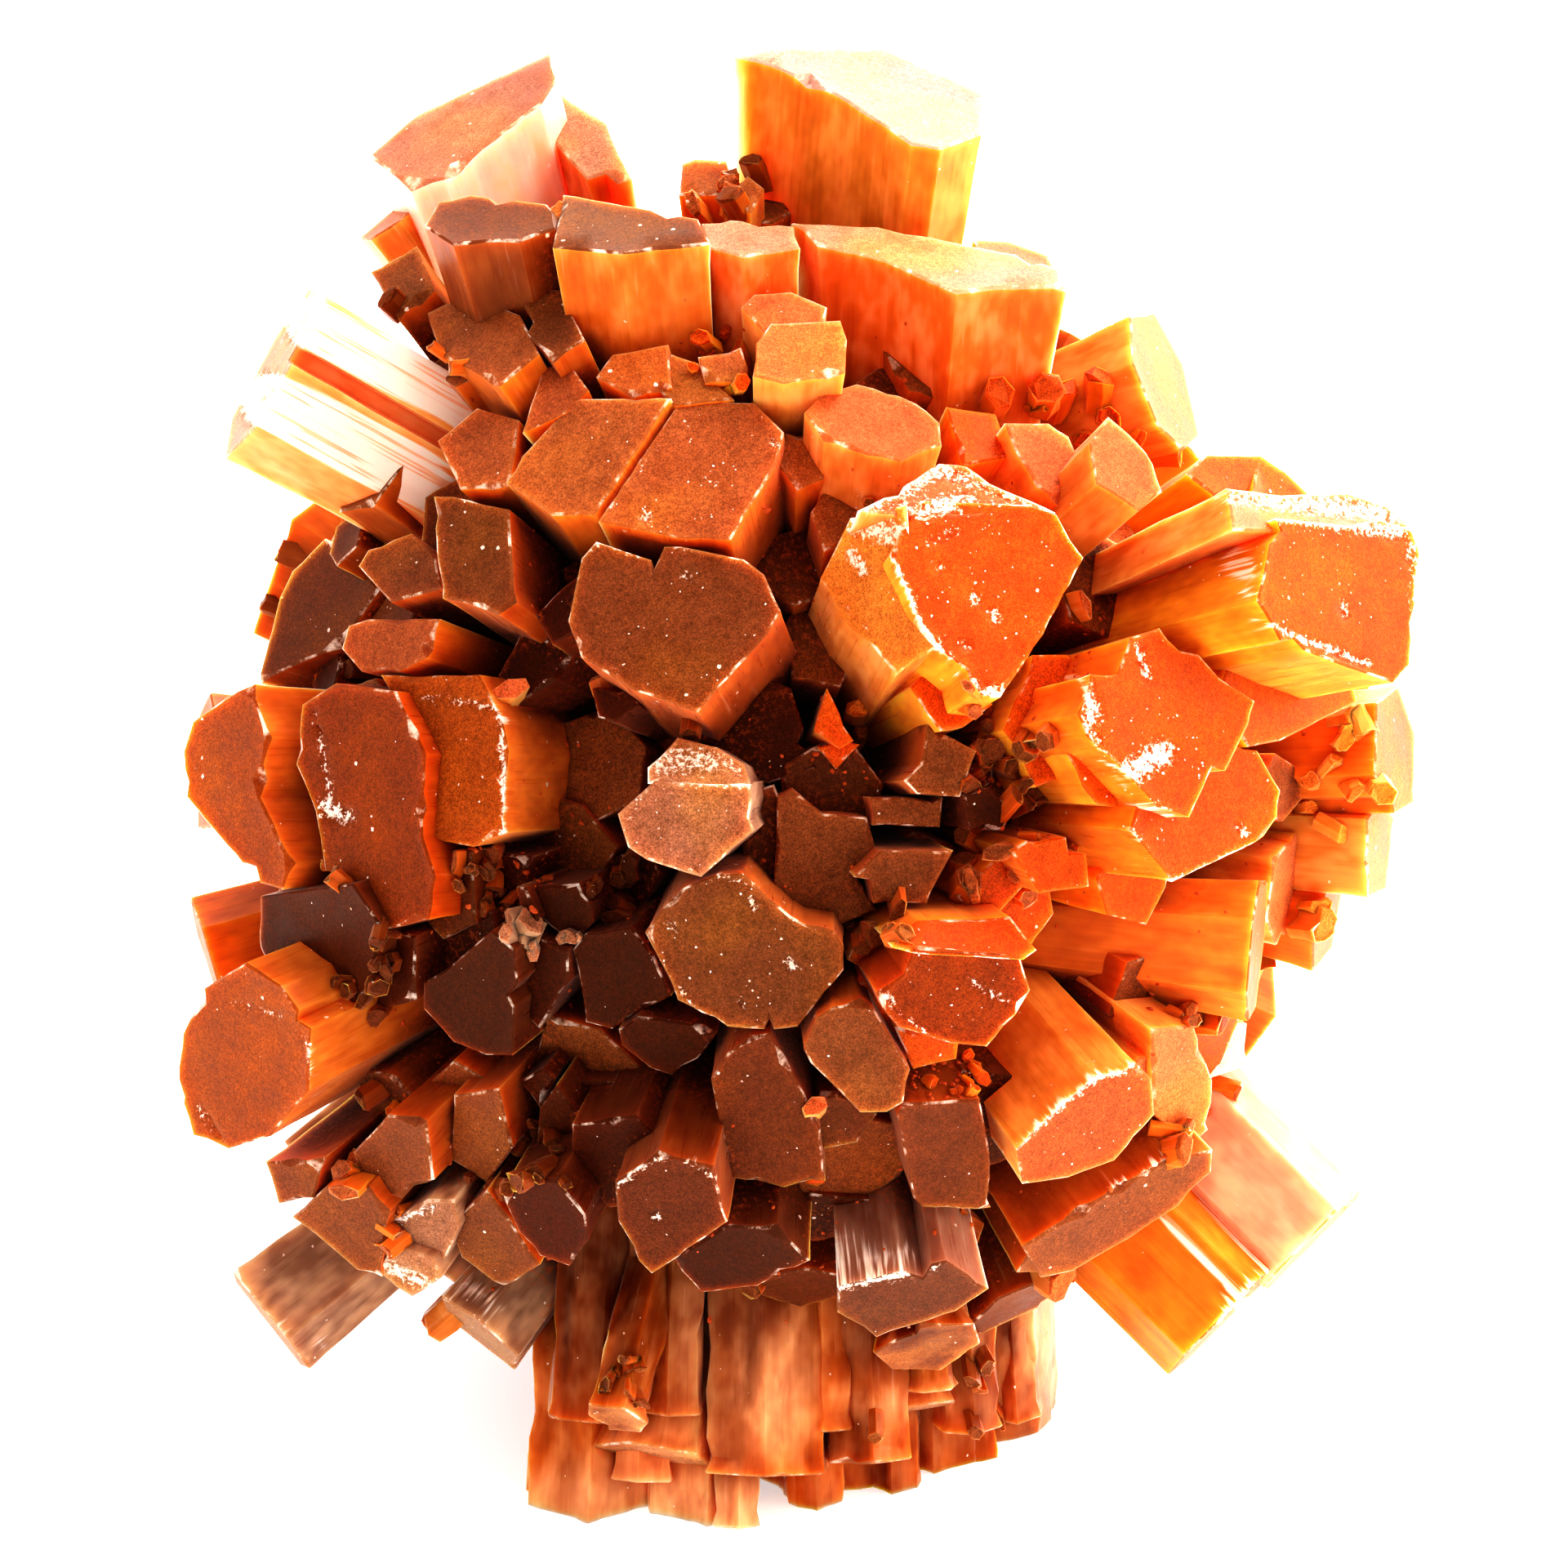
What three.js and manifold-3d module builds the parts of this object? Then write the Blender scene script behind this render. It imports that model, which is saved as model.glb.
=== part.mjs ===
// Aragonite sputnik cluster: flat-ended, six-sided and twinned crystals grown outward from one core.
//
// Everything is first placed in the cluster's own front frame, in millimetres from the middle of the
// core: across (to the right), up, and toward the front. The whole is then leaned back, stood on the
// floor and trimmed flat where it rests. All crystals are grown together, so they are one solid.
import * as THREE from 'three';
import { mergeVertices } from 'three/addons/utils/BufferGeometryUtils.js';
import Module from 'manifold-3d';

// ---- Driving dimensions (mm, degrees) ---------------------------------------------------------------

const CORE_RADIUS = 12;
const CORE_HEIGHT = 18.8;
const LEAN = 25;
const ROOT_TAPER = 0.62;
const STEEPEST_END = 1.35;
const SLAB = 60;

// Crystals of the hidden side
const BACK_COUNT = 84;
const BACK_REACH = 18.6;
const BACK_SIDE_REACH = 14.2;
const BACK_UP_REACH = 2.4;
const BACK_WIDTH = 6.2;
const BACK_WIDTH_SPREAD = 2.6;
const FLOOR_CLEARANCE = 0.5;

// ---- Crystals whose end faces look toward the front ----------------------------------------------------
// face: corners of the end face as [across, up], seen from straight in front
// tip: how far the middle of the end face stands toward the front
// root: where the crystal starts; the middle of the core unless given
// slope: how the end face falls away [across, up]; square to the crystal unless given, but never
// steeper than STEEPEST_END then, so crystals that lean far over aren't cut into long slivers

const FACING = [
  // Broad brown ends left of the middle
  { face: [[-6.1, 6.8], [-5.65, 7.3], [-4, 6.75], [-3.95, 6.4], [-3.6, 7.15], [-3.1, 7.15], [-1.2, 6.75],
    [-0.6, 6.3], [-0.1, 5.2], [-0.5, 4.5], [-2.6, 2.15], [-4.5, 2.8], [-6.1, 3.8], [-6.5, 4.9]], tip: 17.4 },
  { face: [[-8.4, 9.1], [-7.9, 9.9], [-6.3, 11.65], [-3.4, 11.65], [-5.1, 9], [-5.7, 8.1], [-7, 8.1]],
    tip: 14.8 },
  { face: [[-3.15, 11.55], [-0.9, 11.5], [0, 10.6], [-0.25, 9.6], [-1.6, 7.35], [-3.2, 7.4], [-5.6, 7.9],
    [-4.4, 9.7]], tip: 15.8 },
  { face: [[-10.6, 8.7], [-10, 8.7], [-8.3, 8.3], [-8.1, 5.5], [-8.6, 5.1], [-10.3, 5.6], [-10.5, 7]],
    tip: 14.2 },
  { face: [[-7.5, 5.1], [-6.7, 5.9], [-6.2, 6.3], [-6.2, 4.6], [-7, 4.2]], tip: 15 },
  { face: [[-5.8, 2.9], [-5.6, 2], [-5.1, 1.85], [-4.4, 2.35], [-4.6, 3]], tip: 15.8 },
  { face: [[-2.8, 1.6], [-0.9, 3.3], [0.2, 2.9], [1, 0.5], [-0.5, 0], [-1.5, 0.4]], tip: 15 },
  { face: [[-12.9, 6.6], [-12.6, 7.1], [-11.3, 7.6], [-10.6, 7.1], [-10.3, 5.9], [-11.9, 5.5]], tip: 11.8 },
  { face: [[-13.4, 4.1], [-13.2, 4.8], [-12.6, 5], [-10.4, 5], [-10.8, 3.8], [-11.6, 3.4], [-12.8, 3.4]],
    tip: 12.2 },
  { face: [[-10.5, 10.4], [-9.3, 11.4], [-8, 11], [-8.3, 9], [-9.8, 8.9]], tip: 12.4 },
  { face: [[-7.9, 10.6], [-7.3, 12.7], [-6.6, 12.9], [-5.9, 11.9], [-6.6, 11.2]], tip: 13 },
  // Orange blocks and hexagons of the upper middle
  { face: [[-0.95, 12.3], [-0.85, 13.3], [-0.4, 13.9], [1.7, 14], [1.9, 13.4], [1.85, 12.4], [0, 12.05]],
    tip: 14.8, root: [0, 4, 5] },
  { face: [[-1.3, 14.4], [-0.9, 14.8], [0.2, 14.9], [1.3, 14.4], [1.3, 13.7], [-0.6, 13.6]],
    tip: 13.4, root: [0, 4, 4] },
  { face: [[0.6, 11.2], [1.3, 11.9], [2.2, 12.1], [4, 11.6], [4.7, 10.9], [4.75, 10.2], [3.5, 9.7],
    [2.5, 9.9], [1.2, 10.4]], tip: 15.4, root: [1.5, 2, 8] },
  { face: [[0.05, 10.6], [1.3, 10.6], [1.2, 9.2], [0.4, 8.9], [-0.2, 9.6]], tip: 15 },
  { face: [[0.8, 8.2], [1.2, 8.8], [2.7, 8.5], [2.2, 7.4], [1.2, 7]], tip: 15.2 },
  { face: [[-2.6, 12.9], [-1.3, 13.2], [-1.1, 12.6], [-1.3, 12.1], [-2.4, 12.2]], tip: 14.2 },
  { face: [[-5.7, 12.3], [-5.2, 13], [-4.5, 13.1], [-3.5, 13.3], [-3.4, 12], [-4.6, 11.7]], tip: 13.4 },
  { face: [[-4.1, 12.2], [-3.4, 13], [-2.6, 12.7], [-1.5, 11.6], [-3.3, 11.4]], tip: 14 },
  { face: [[6.65, 10.9], [8, 10.9], [8.6, 10.5], [9.4, 8.5], [8.9, 8.1], [7.6, 9], [7, 10]],
    tip: 14, root: [3, 4, 4] },
  { face: [[4.9, 11.4], [6.4, 11.2], [6.9, 9.9], [5.4, 9.6]], tip: 13.6 },
  // The big orange crystal right of the middle, with its broken upper rim and left shoulder
  { face: [[3.2, 6.9], [3.9, 5.2], [4.7, 4], [5.5, 3.4], [5.7, 2.7], [6.5, 2.6], [7.8, 4.5], [8.6, 6],
    [9, 6.8], [8.2, 8.1], [7.4, 8.4], [4.1, 8.5]], tip: 18.6 },
  { face: [[2.2, 8.2], [3, 8.6], [4, 9.2], [4.7, 9.7], [5.5, 9.55], [6.5, 8.9], [8.2, 8.2], [4.2, 7.9]],
    tip: 17.7, slope: [-0.3, -0.85] },
  { face: [[1.1, 6.2], [2, 8], [3.7, 8.4], [3.9, 5.8], [4.7, 4.2], [3.4, 3.3], [1.8, 4.9]],
    tip: 18.2, slope: [0.75, 0.05] },
  { face: [[3.8, 2.9], [4.3, 2.1], [4.7, 1.6], [5.4, 1.7], [6.3, 2.4], [5.7, 2.9], [4.2, 3.3]], tip: 17 },
  // The large crystal on the right with its white upper rim and stepped underside
  { face: [[14.8, 8], [17, 7.8], [18, 8], [19, 7.7], [19.25, 7], [18.9, 3.6], [18.4, 3.05], [17, 3.5],
    [14.9, 4.3], [14.2, 5.5]], tip: 14.7, root: [2, 2, 2] },
  { face: [[13.3, 8.9], [15, 8.7], [17, 8.8], [18.3, 8.4], [19, 7.8], [17.9, 7.7], [14.9, 7.6], [13.5, 7.6]],
    tip: 14.3, root: [2, 2, 2], slope: [-1.2, -1.1] },
  { face: [[13.8, 4.6], [17, 3.8], [17.4, 2.5], [15, 1.3], [14, 1.1], [13, 2.6]], tip: 12.6, root: [2, 1, 2] },
  { face: [[12.2, 9.4], [12.8, 10], [14.5, 10], [15.3, 9.5], [16, 8.8], [14, 8]], tip: 8 },
  // The notched twin below it
  { face: [[9.1, 1.4], [8.8, 2.1], [9.1, 2.7], [9.2, 3.3], [10, 3.3], [10.4, 4.4], [11.3, 4.7], [11.9, 4],
    [12.5, 3.9], [13.1, 3.2], [14.2, 2.5], [14, 1.8], [13.3, 0.4], [12.9, 0.5], [12.2, -1], [11.2, -0.7],
    [10.2, 0.4]], tip: 17.2 },
  { face: [[8.5, 0.9], [9, -0.1], [9.4, -0.6], [10, -0.7], [10.3, 0.5], [9.5, 1.2]], tip: 16.6 },
  { face: [[6.6, 1.6], [7.5, 3.9], [8.8, 3.9], [9.6, 2.8], [9, 0.4], [7.6, -0.1]], tip: 15.4 },
  { face: [[10.4, -1.4], [11.7, -2.95], [12.9, -2.4], [14.6, -1.6], [14.9, -1], [15, -0.2], [14.3, 1],
    [12.5, 1.5], [10.8, 0]], tip: 14.8 },
  // Small crystals of the middle
  { face: [[-5, -0.9], [-3.9, 0.1], [-2.2, 0], [-1, 0], [-0.9, -1.4], [-2.5, -2.8], [-4.1, -2.3],
    [-4.7, -1.9]], tip: 18.2 },
  { face: [[-4.1, 0], [-4.1, 0.5], [-3.2, 1.4], [-2, 1.1], [-1.2, 0.6], [-1, 0], [-2.2, -0.1]],
    tip: 17.8, slope: [0, -0.75] },
  { face: [[-0.2, -0.4], [0.3, -0.2], [1.2, -0.9], [2.5, -1], [2.8, -2], [2.2, -2.8], [2.8, -3.8],
    [1.6, -4.3], [-0.3, -3.8], [-0.3, -2.8]], tip: 16 },
  { face: [[-1.3, -0.3], [-0.3, 0], [-0.1, -0.5], [-0.3, -3.2], [-1.3, -2.8]], tip: 15.6 },
  { face: [[2.1, -2.8], [2.9, -2], [4, -2], [5.1, -2], [4.4, -3.3], [4.3, -3.6], [2.7, -3.6]], tip: 16.6 },
  { face: [[2.6, -0.4], [2.7, -1.25], [4.7, -1.3], [4.8, -0.4]], tip: 16 },
  { face: [[3.6, 0.1], [4.1, 0.6], [4.3, 1.8], [5.8, 1], [5.3, -0.4], [4, -0.3]], tip: 16.6 },
  { face: [[5.4, -0.3], [5.6, -1.4], [6.6, -1.4], [6.9, -0.8], [6.2, -0.1]], tip: 16 },
  { face: [[6.8, -2], [7.3, -1.7], [8.5, -1.6], [9.1, -2.1], [9.2, -3.1], [7.7, -3.3], [7.2, -2.6]],
    tip: 16.2 },
  { face: [[5.2, -3.4], [6.3, -2.3], [7, -2.1], [7.4, -2.9], [6.4, -4], [5.8, -4]], tip: 15.2 },
  { face: [[0.9, 1.6], [1, 2], [1.3, 2.9], [2.1, 1.3], [1.7, 1.05]], tip: 16 },
  { face: [[1, 1.1], [1.7, 1.3], [2.3, 1.2], [1.6, 0.45]], tip: 15.6 },
  { face: [[1.9, -5.3], [2.2, -4.6], [2.9, -4.2], [3.8, -4.1], [3.9, -5], [2.6, -5.7]], tip: 15.8 },
  // The rough twin-lobed end below the middle and the orange bevelled end beside it
  { face: [[-4.2, -4.5], [-3.7, -3.8], [-3, -3.1], [-2, -2.7], [-1.2, -2.7], [-0.5, -3.4], [0.6, -4.2],
    [1.5, -4.4], [1.8, -4.9], [1.8, -5.6], [0.4, -7.3], [-0.3, -7.4], [-0.45, -7.1], [-0.6, -7.4],
    [-1.7, -7.3], [-3.2, -6.5], [-3.9, -5]], tip: 17.4 },
  { face: [[3.6, -5.7], [3.9, -4.9], [6.5, -5.1], [7.1, -5.2], [7.4, -6.2], [7.2, -6.7], [6.1, -7.9],
    [5, -7.8], [3.4, -7.3], [3, -6.8], [2.8, -6.3]], tip: 17.8 },
  { face: [[3.2, -4.9], [4, -4.1], [6.8, -4], [7.6, -5], [7.2, -5.3], [3.9, -5.1]], tip: 17.8,
    slope: [-0.35, -0.9] },
  { face: [[0.6, -8], [1, -7], [1.5, -6.7], [2.3, -6.5], [2.7, -6.7], [3.8, -8.6], [3.6, -9.6], [3.1, -9.9],
    [2.3, -9.9], [0.8, -8.4]], tip: 16.6 },
  { face: [[3.3, -7.3], [5.3, -7.5], [5.2, -8.3], [3.9, -8.6]], tip: 15.4 },
  { face: [[-2.2, -8.9], [-1.7, -8.1], [-1, -7.6], [-0.4, -7.5], [0.6, -9.3], [1.1, -10.4], [1.25, -12],
    [0, -12.2], [-1.6, -11.9], [-2, -10]], tip: 15 },
  { face: [[3.4, -10], [3.6, -9.6], [5.9, -9.5], [6.2, -11], [6.3, -12.9], [4.2, -12.8], [3.9, -12.5],
    [3.6, -11]], tip: 14 },
  // The orange block of the lower right and the pale ledges under it
  { face: [[7, -11], [8.2, -9.8], [9.4, -8.8], [10.7, -8.5], [11.1, -8.9], [11.2, -10], [10, -11.4],
    [8.6, -11.9], [7.2, -12.1]], tip: 13.8, root: [2, -1.5, 3] },
  { face: [[7.2, -14], [9.3, -12.7], [11.7, -11.3], [13, -11.1], [13, -11.8], [12, -12.8], [10.5, -13.8],
    [8.8, -14.8], [7.8, -15]], tip: 9.4, root: [3, -3, 2] },
  { face: [[11.1, -7.4], [12.4, -7.3], [13, -9], [13, -10.6], [12.2, -11], [11.2, -10]], tip: 10 },
  { face: [[12.8, -7.2], [14.1, -7.3], [14.1, -8.6], [12.9, -9]], tip: 7 },
  // Shiny block of the lower middle
  { face: [[1.6, -15.2], [4.9, -14.4], [6.2, -15.3], [5.2, -16], [2.8, -16.8], [1.6, -16]],
    tip: 11.4, root: [2.5, -6, 6.5] },
  // Group of dark red blocks on the left
  { face: [[-12.2, 3.3], [-9.2, 3.3], [-8.5, 2], [-8.3, 1], [-8.5, -1.5], [-9.4, -1.9], [-11, -1.6],
    [-10.8, 1]], tip: 14.4, root: [-1.5, 0.5, 1] },
  { face: [[-14.6, 2.4], [-13.6, 3.05], [-11.7, 2.8], [-10.8, 0.9], [-10.9, -1.6], [-10.5, -2.8],
    [-10.7, -4.1], [-12, -4.4], [-12.8, -3.1], [-13.9, -2.6], [-14.2, -0.8], [-14.8, 0.6]], tip: 12.8 },
  { face: [[-10.8, -2], [-9.4, -2], [-9.3, -4.2], [-10.3, -4.7], [-10.9, -4.1]], tip: 13.2 },
  { face: [[-9.3, -2], [-7.6, -2.2], [-7.8, -3.6], [-8.5, -4.3], [-9.2, -4.3]], tip: 12.8 },
  { face: [[-16.2, 3.05], [-17, 2.6], [-18, 1.9], [-18.3, 1], [-18.2, -0.4], [-17, -1.8], [-15.9, -3],
    [-15.2, -3.2], [-14.9, -2.4], [-15.9, -0.4], [-15.6, 1.4]], tip: 8.6 },
  { face: [[-14, 7.5], [-15, 6.5], [-15.4, 5.7], [-15.9, 3.8], [-16.1, 3.1], [-13.5, 4.2], [-12.3, 5.9],
    [-13, 7]], tip: 5.6 },
  // Dark ends of the lower left, some deep between the others
  { face: [[-10.9, -6], [-10.2, -5.6], [-8.8, -4.4], [-8.1, -5], [-8, -6], [-8.2, -8.2], [-9, -8.2],
    [-10, -7.8], [-10.9, -6.8]], tip: 13.6 },
  { face: [[-8, -4.4], [-6.5, -5], [-6.5, -6], [-6.9, -6.6], [-7.4, -7.4], [-7.8, -7], [-7.9, -5.5]],
    tip: 13.8 },
  { face: [[-7.6, -3.8], [-7.5, -3.1], [-6.2, -3], [-5.8, -3.6], [-5.8, -4.2], [-6.4, -4.9]], tip: 14.4 },
  { face: [[-8.1, -3.1], [-7.8, -3.1], [-7.4, -4], [-7.5, -4.5], [-7.8, -4.5]], tip: 14.4 },
  { face: [[-6.4, -5], [-6, -4.5], [-4.6, -4.3], [-3.9, -5.2], [-3.4, -6.4], [-4.6, -7], [-5.2, -7.4],
    [-6, -7.2], [-6.1, -6.3]], tip: 14.4 },
  { face: [[-5, -7.4], [-4.4, -7], [-2.8, -7.2], [-2, -7.5], [-2.6, -8.3], [-3.4, -8.8], [-4, -8.6],
    [-4.9, -7.9]], tip: 14.4 },
  { face: [[-8, -9], [-7.3, -8.6], [-6.9, -8.9], [-7.4, -9.8]], tip: 12.4 },
  { face: [[-6.6, -9], [-4.2, -9], [-4.6, -10.2], [-5.6, -10.4]], tip: 12.2 },
  { face: [[-7.4, -9.8], [-6.9, -9.1], [-5.8, -10.5], [-5.2, -11.6], [-6.9, -11.9], [-7.5, -11.2]],
    tip: 12 },
  { face: [[-5.8, -11.2], [-5.5, -10.4], [-4.9, -10.3], [-4.8, -11], [-5.2, -11.7]], tip: 13 },
  { face: [[-5.1, -12], [-3.8, -11.1], [-2.1, -11.5], [-1.7, -13.2], [-3.2, -14.3], [-4, -14.8],
    [-4.4, -14.4], [-5, -13.2]], tip: 14.4 },
  { face: [[-3.4, -14.4], [-1.7, -13.3], [-0.2, -13.4], [0.8, -14.4], [-0.8, -15.2], [-2.5, -15.4]],
    tip: 12.6 },
  { face: [[-8.6, -12.4], [-7.6, -12], [-6.8, -11.9], [-6, -13], [-5.9, -13.8], [-6.5, -14.6],
    [-7.4, -14.3], [-8, -13.6]], tip: 12.4 },
  { face: [[-15.9, -3.4], [-13, -3], [-12.2, -4.2], [-12.4, -6], [-13.4, -7], [-15.2, -6.1], [-16, -5]],
    tip: 10.8 },
  { face: [[-12.3, -4.3], [-11.1, -4.6], [-11.2, -6.6], [-13, -7], [-12.6, -6]], tip: 11.6 },
  // The round orange crystal low on the left and its neighbours
  { face: [[-18.5, -9], [-18.3, -7.6], [-17.6, -6.2], [-16.3, -5.4], [-15.2, -6.1], [-14.3, -7.4],
    [-14.4, -9.3], [-15.6, -10.7], [-16.9, -11.1], [-18, -10.7]], tip: 9, root: [-2, -1.5, 2] },
  { face: [[-15.8, -11.5], [-15.4, -12.8], [-14.3, -12.6], [-14, -11.4]], tip: 7 },
  { face: [[-13.1, -11.2], [-12, -10], [-10.8, -10.2], [-10.6, -12], [-11.6, -12.6], [-12.7, -12.2]],
    tip: 10 },
  { face: [[-10, -9.4], [-8.6, -9.2], [-8.2, -11], [-9, -12.1], [-10.1, -11.4]], tip: 11.4 },
  { face: [[-15, -13.2], [-13.9, -12.2], [-12.6, -12.2], [-12, -13], [-12.3, -15.1], [-13, -14.8],
    [-14.3, -13.7]], tip: 7.4 },
  { face: [[-12, -13.3], [-10.8, -12.6], [-10, -12.6], [-9.8, -13.4], [-10.3, -14.5], [-11, -14.8]],
    tip: 9 },
  { face: [[-12.4, -14.8], [-11.9, -14], [-10.6, -14.4], [-10.4, -15], [-11.4, -15.7]], tip: 7.6 },
  { face: [[-10.2, -13.4], [-9, -12.3], [-8.3, -13.2], [-7.4, -14.6], [-8.6, -15.4], [-9.8, -14.4]],
    tip: 9.4 },
  // Steep ends along the top, seen almost edge on
  { face: [[0.2, 17], [2.8, 16.9], [7, 16.05], [8.3, 15.6], [8.6, 15], [6.3, 14.95], [5.2, 14.8],
    [3, 15.8], [1, 16.3]], tip: 12.2, root: [4, 4.4, 8.2], slope: [-0.15, -1.9] },
  { face: [[-7, 16.2], [-6.7, 17.9], [-4.5, 17.5], [-2.6, 17.1], [-2.2, 16.3], [-4.9, 16]],
    tip: 12, root: [-3.4, 5, 7.4], slope: [0.2, -1.9] },
  { face: [[-2.5, 17], [-1.6, 17.1], [0.3, 16.9], [0.5, 16.2], [-1.2, 15.9], [-2.3, 16.2]],
    tip: 12, root: [-0.8, 5, 7.6], slope: [0, -1.8] },
  { face: [[-10.9, 16.9], [-10.5, 17.7], [-9.5, 17.9], [-7.2, 17.6], [-6.6, 16.9], [-8, 16.4],
    [-10, 16.3]], tip: 10, root: [-6, 5.4, 5.8], slope: [0.3, -1.9] },
  { face: [[-12.7, 19.2], [-11.2, 20.5], [-7.1, 22.4], [-6.9, 21.5], [-7.4, 20.7], [-10.3, 18.4],
    [-11.4, 18.2]], tip: 4, root: [-4, 2, -2.4], slope: [1, -2] },
  { face: [[-7, 21.3], [-6.2, 20.7], [-5.4, 20.2], [-5, 19.2], [-4.6, 18.4], [-6, 18.4], [-7.2, 19.8]],
    tip: 4.4, root: [-2, 2, -1] },
  { face: [[-1.6, 22.1], [-0.35, 21.8], [1.9, 20.7], [3.85, 19.35], [4.75, 19.2], [6, 19.7], [6.1, 21.05],
    [3, 22.45], [-0.5, 22.4]], tip: 8.4, root: [1, 4, 1], slope: [-0.3, -1.7] },
  { face: [[-3.2, 17.9], [-3.1, 18.9], [-2.7, 19.05], [-1.7, 19], [-1.5, 17.9]], tip: 6.4, root: [-1, 4, 2] },
  { face: [[-1.9, 18], [-1.1, 18.5], [-0.6, 18.1], [-1, 17.3]], tip: 8, root: [-0.6, 4, 3] },
  { face: [[-10.9, 14.4], [-9.4, 14.8], [-8, 14.2], [-7.4, 13], [-8.6, 12], [-10.4, 13]], tip: 10.8 },
  { face: [[-8, 14.9], [-6.8, 15], [-6, 13.4], [-7, 12.8], [-7.8, 13.6]], tip: 11.8 },
  { face: [[-12.6, 15.6], [-11.2, 16.4], [-10.6, 15], [-11.8, 14.2]], tip: 7 },
];

// ---- Crystals that lie across the view -----------------------------------------------------------------
// tip and root: [across, up, toward the front]
// section: corners of the end face about its middle, [left of the way it points, toward the front]

const LYING = [
  // Left: two pale bands with a groove between them, over an orange lower side
  { tip: [-15.6, 12.3, 9], root: [-5, 6.4, 6.6],
    section: [[2.8, 0], [1.5, 1.9], [-0.7, 2.1], [-0.8, 1.4], [-1.2, 1.4], [-1.3, 2.1], [-3, 1.7],
      [-3, -1.6], [-1.2, -2.6], [1.6, -2.4]], taper: 0.85 },
  // Right: the glowing block and the pale ones behind it
  { tip: [14.3, -5, 10], root: [3, -3.9, 8.8],
    section: [[-2.2, 0.2], [-1.4, 1.7], [0.9, 2], [2.1, 0.8], [2.1, -1.6], [0.4, -2.4], [-1.8, -1.7]] },
  { tip: [18.6, 0.9, 6.2], root: [4, 0.2, 1], section: [[-1.8, 0.4], [-0.6, 2.1], [1.6, 1.6], [2.1, -0.6],
    [0.6, -2], [-1.5, -1.6]] },
  { tip: [18.1, -2, 5], root: [4, -1, 1], section: [[-1.5, 0.8], [0.9, 1.6], [1.6, 0.2], [1, -1.7],
    [-1.2, -1.3]] },
  { tip: [16.6, -4.2, 3.6], root: [4, -1, 1], section: [[-1.6, 0.4], [-0.5, 1.9], [1.5, 1.5], [1.7, -0.8],
    [-0.8, -1.8]] },
  { tip: [11.5, 12.2, 9.4], root: [2.4, 9, 6.2],
    section: [[-2.2, 0.4], [-1.2, 2], [0.8, 2.3], [2.2, 1], [2.1, -1.5], [0.3, -2.5], [-1.9, -1.6]] },
  // Lower right: a pale pair side by side
  { tip: [16.1, -13.9, 4.4], root: [6.1, -3.9, 3.4],
    section: [[-2.1, 0.8], [-1.3, 1.6], [1.2, 2.2], [2.2, 0.7], [1.9, -2.1], [-2.1, -2.4]], taper: 1 },
  { tip: [13.4, -16.3, 4.6], root: [3.2, -6.2, 3.8],
    section: [[-2.4, -0.2], [-1.6, 1.9], [1.3, 2.2], [2.2, 1], [2.2, -2.2], [-1.7, -2.6]], taper: 1 },
  // Lower left: grey-brown blocks
  { tip: [-15.7, -16.4, 2.4], root: [-4.6, -7.6, 1.4],
    section: [[-1.9, 0.9], [0.8, 2.2], [1.9, 0.6], [1.7, -2], [-1.6, -1.7]] },
  { tip: [-9.3, -16.7, 4.6], root: [-2, -8, 2.6],
    section: [[-1.6, 0.6], [-0.3, 1.8], [1.4, 1.3], [1.6, -1.3], [-0.9, -1.8]] },
  { tip: [-17.7, -5.1, 1], root: [-4, -1, 0], section: [[-1.7, 0], [-0.7, 1.9], [1.3, 1.5], [1.6, -0.9],
    [-0.6, -1.9]] },
  { tip: [17.4, 4.8, 1.4], root: [4, 1, 0], section: [[-2, 0.3], [-0.8, 2.1], [1.5, 1.6], [2.2, -0.7],
    [0.4, -2.2], [-1.7, -1.5]] },
  { tip: [-14.8, 5, -2.6], root: [-3, 1, -1], section: [[-1.9, 0.2], [-0.8, 2.2], [1.6, 1.5], [1.9, -1.2],
    [-0.4, -2.3]] },
  { tip: [-12.3, 7.2, 1.2], root: [-2, 1, 0], section: [[-2, 0.4], [-0.9, 2], [1.2, 1.8], [2, -0.4],
    [0.8, -2.1], [-1.3, -1.8]] },
  { tip: [10.9, 9.3, 1.6], root: [2, 2, 0], section: [[-1.9, 0.2], [-0.8, 2], [1.4, 1.5], [1.9, -0.9],
    [0.2, -2.2], [-1.5, -1.5]] },
  { tip: [-17.6, 0.6, 2.6], root: [-4, 0.4, 0], section: [[-2.2, 0.2], [-0.9, 2.2], [1.9, 1.5], [2, -1.6],
    [-1.4, -2]] },
];

// ---- Columns of the foot ---------------------------------------------------------------------------------
// [middle across, width, depth, lower end, toward the front at the lower end and at the top, turn]

const FOOT_COLUMNS = [
  [-5.9, 4, 4.2, -24.5, 1.5, 3, 4],
  [-5.7, 3.1, 2.6, -19.3, 4.8, 6.2, -4],
  [-2.6, 3.7, 4, -24.5, 1.9, 3.4, -6],
  [-3.4, 1.9, 2.4, -19.1, 5, 6.4, 8],
  [-0.5, 3.7, 3.4, -20.9, 4.6, 6, 3],
  [2.5, 2.6, 3, -20.5, 4, 6, -10],
  [1.1, 4.4, 4.6, -24, -0.6, 3, 12],
  [4.5, 4.2, 4.6, -23, -2.4, 4, -4],
  [6.9, 3.2, 4.6, -22, -4.8, 4, 16],
];
const FOOT_TOP = -8;

// Crystals under and behind the core that reach the floor: [across, up, toward the front], width
const FEET = [
  { tip: [0.4, -18.3, -8.6], width: 6.4, depth: 5.6, turn: 20 },
  { tip: [-5.4, -14.8, -15.6], width: 5.6, depth: 6.2, turn: 65 },
  { tip: [5.2, -14.4, -16], width: 6, depth: 5.2, turn: 130 },
];

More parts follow.
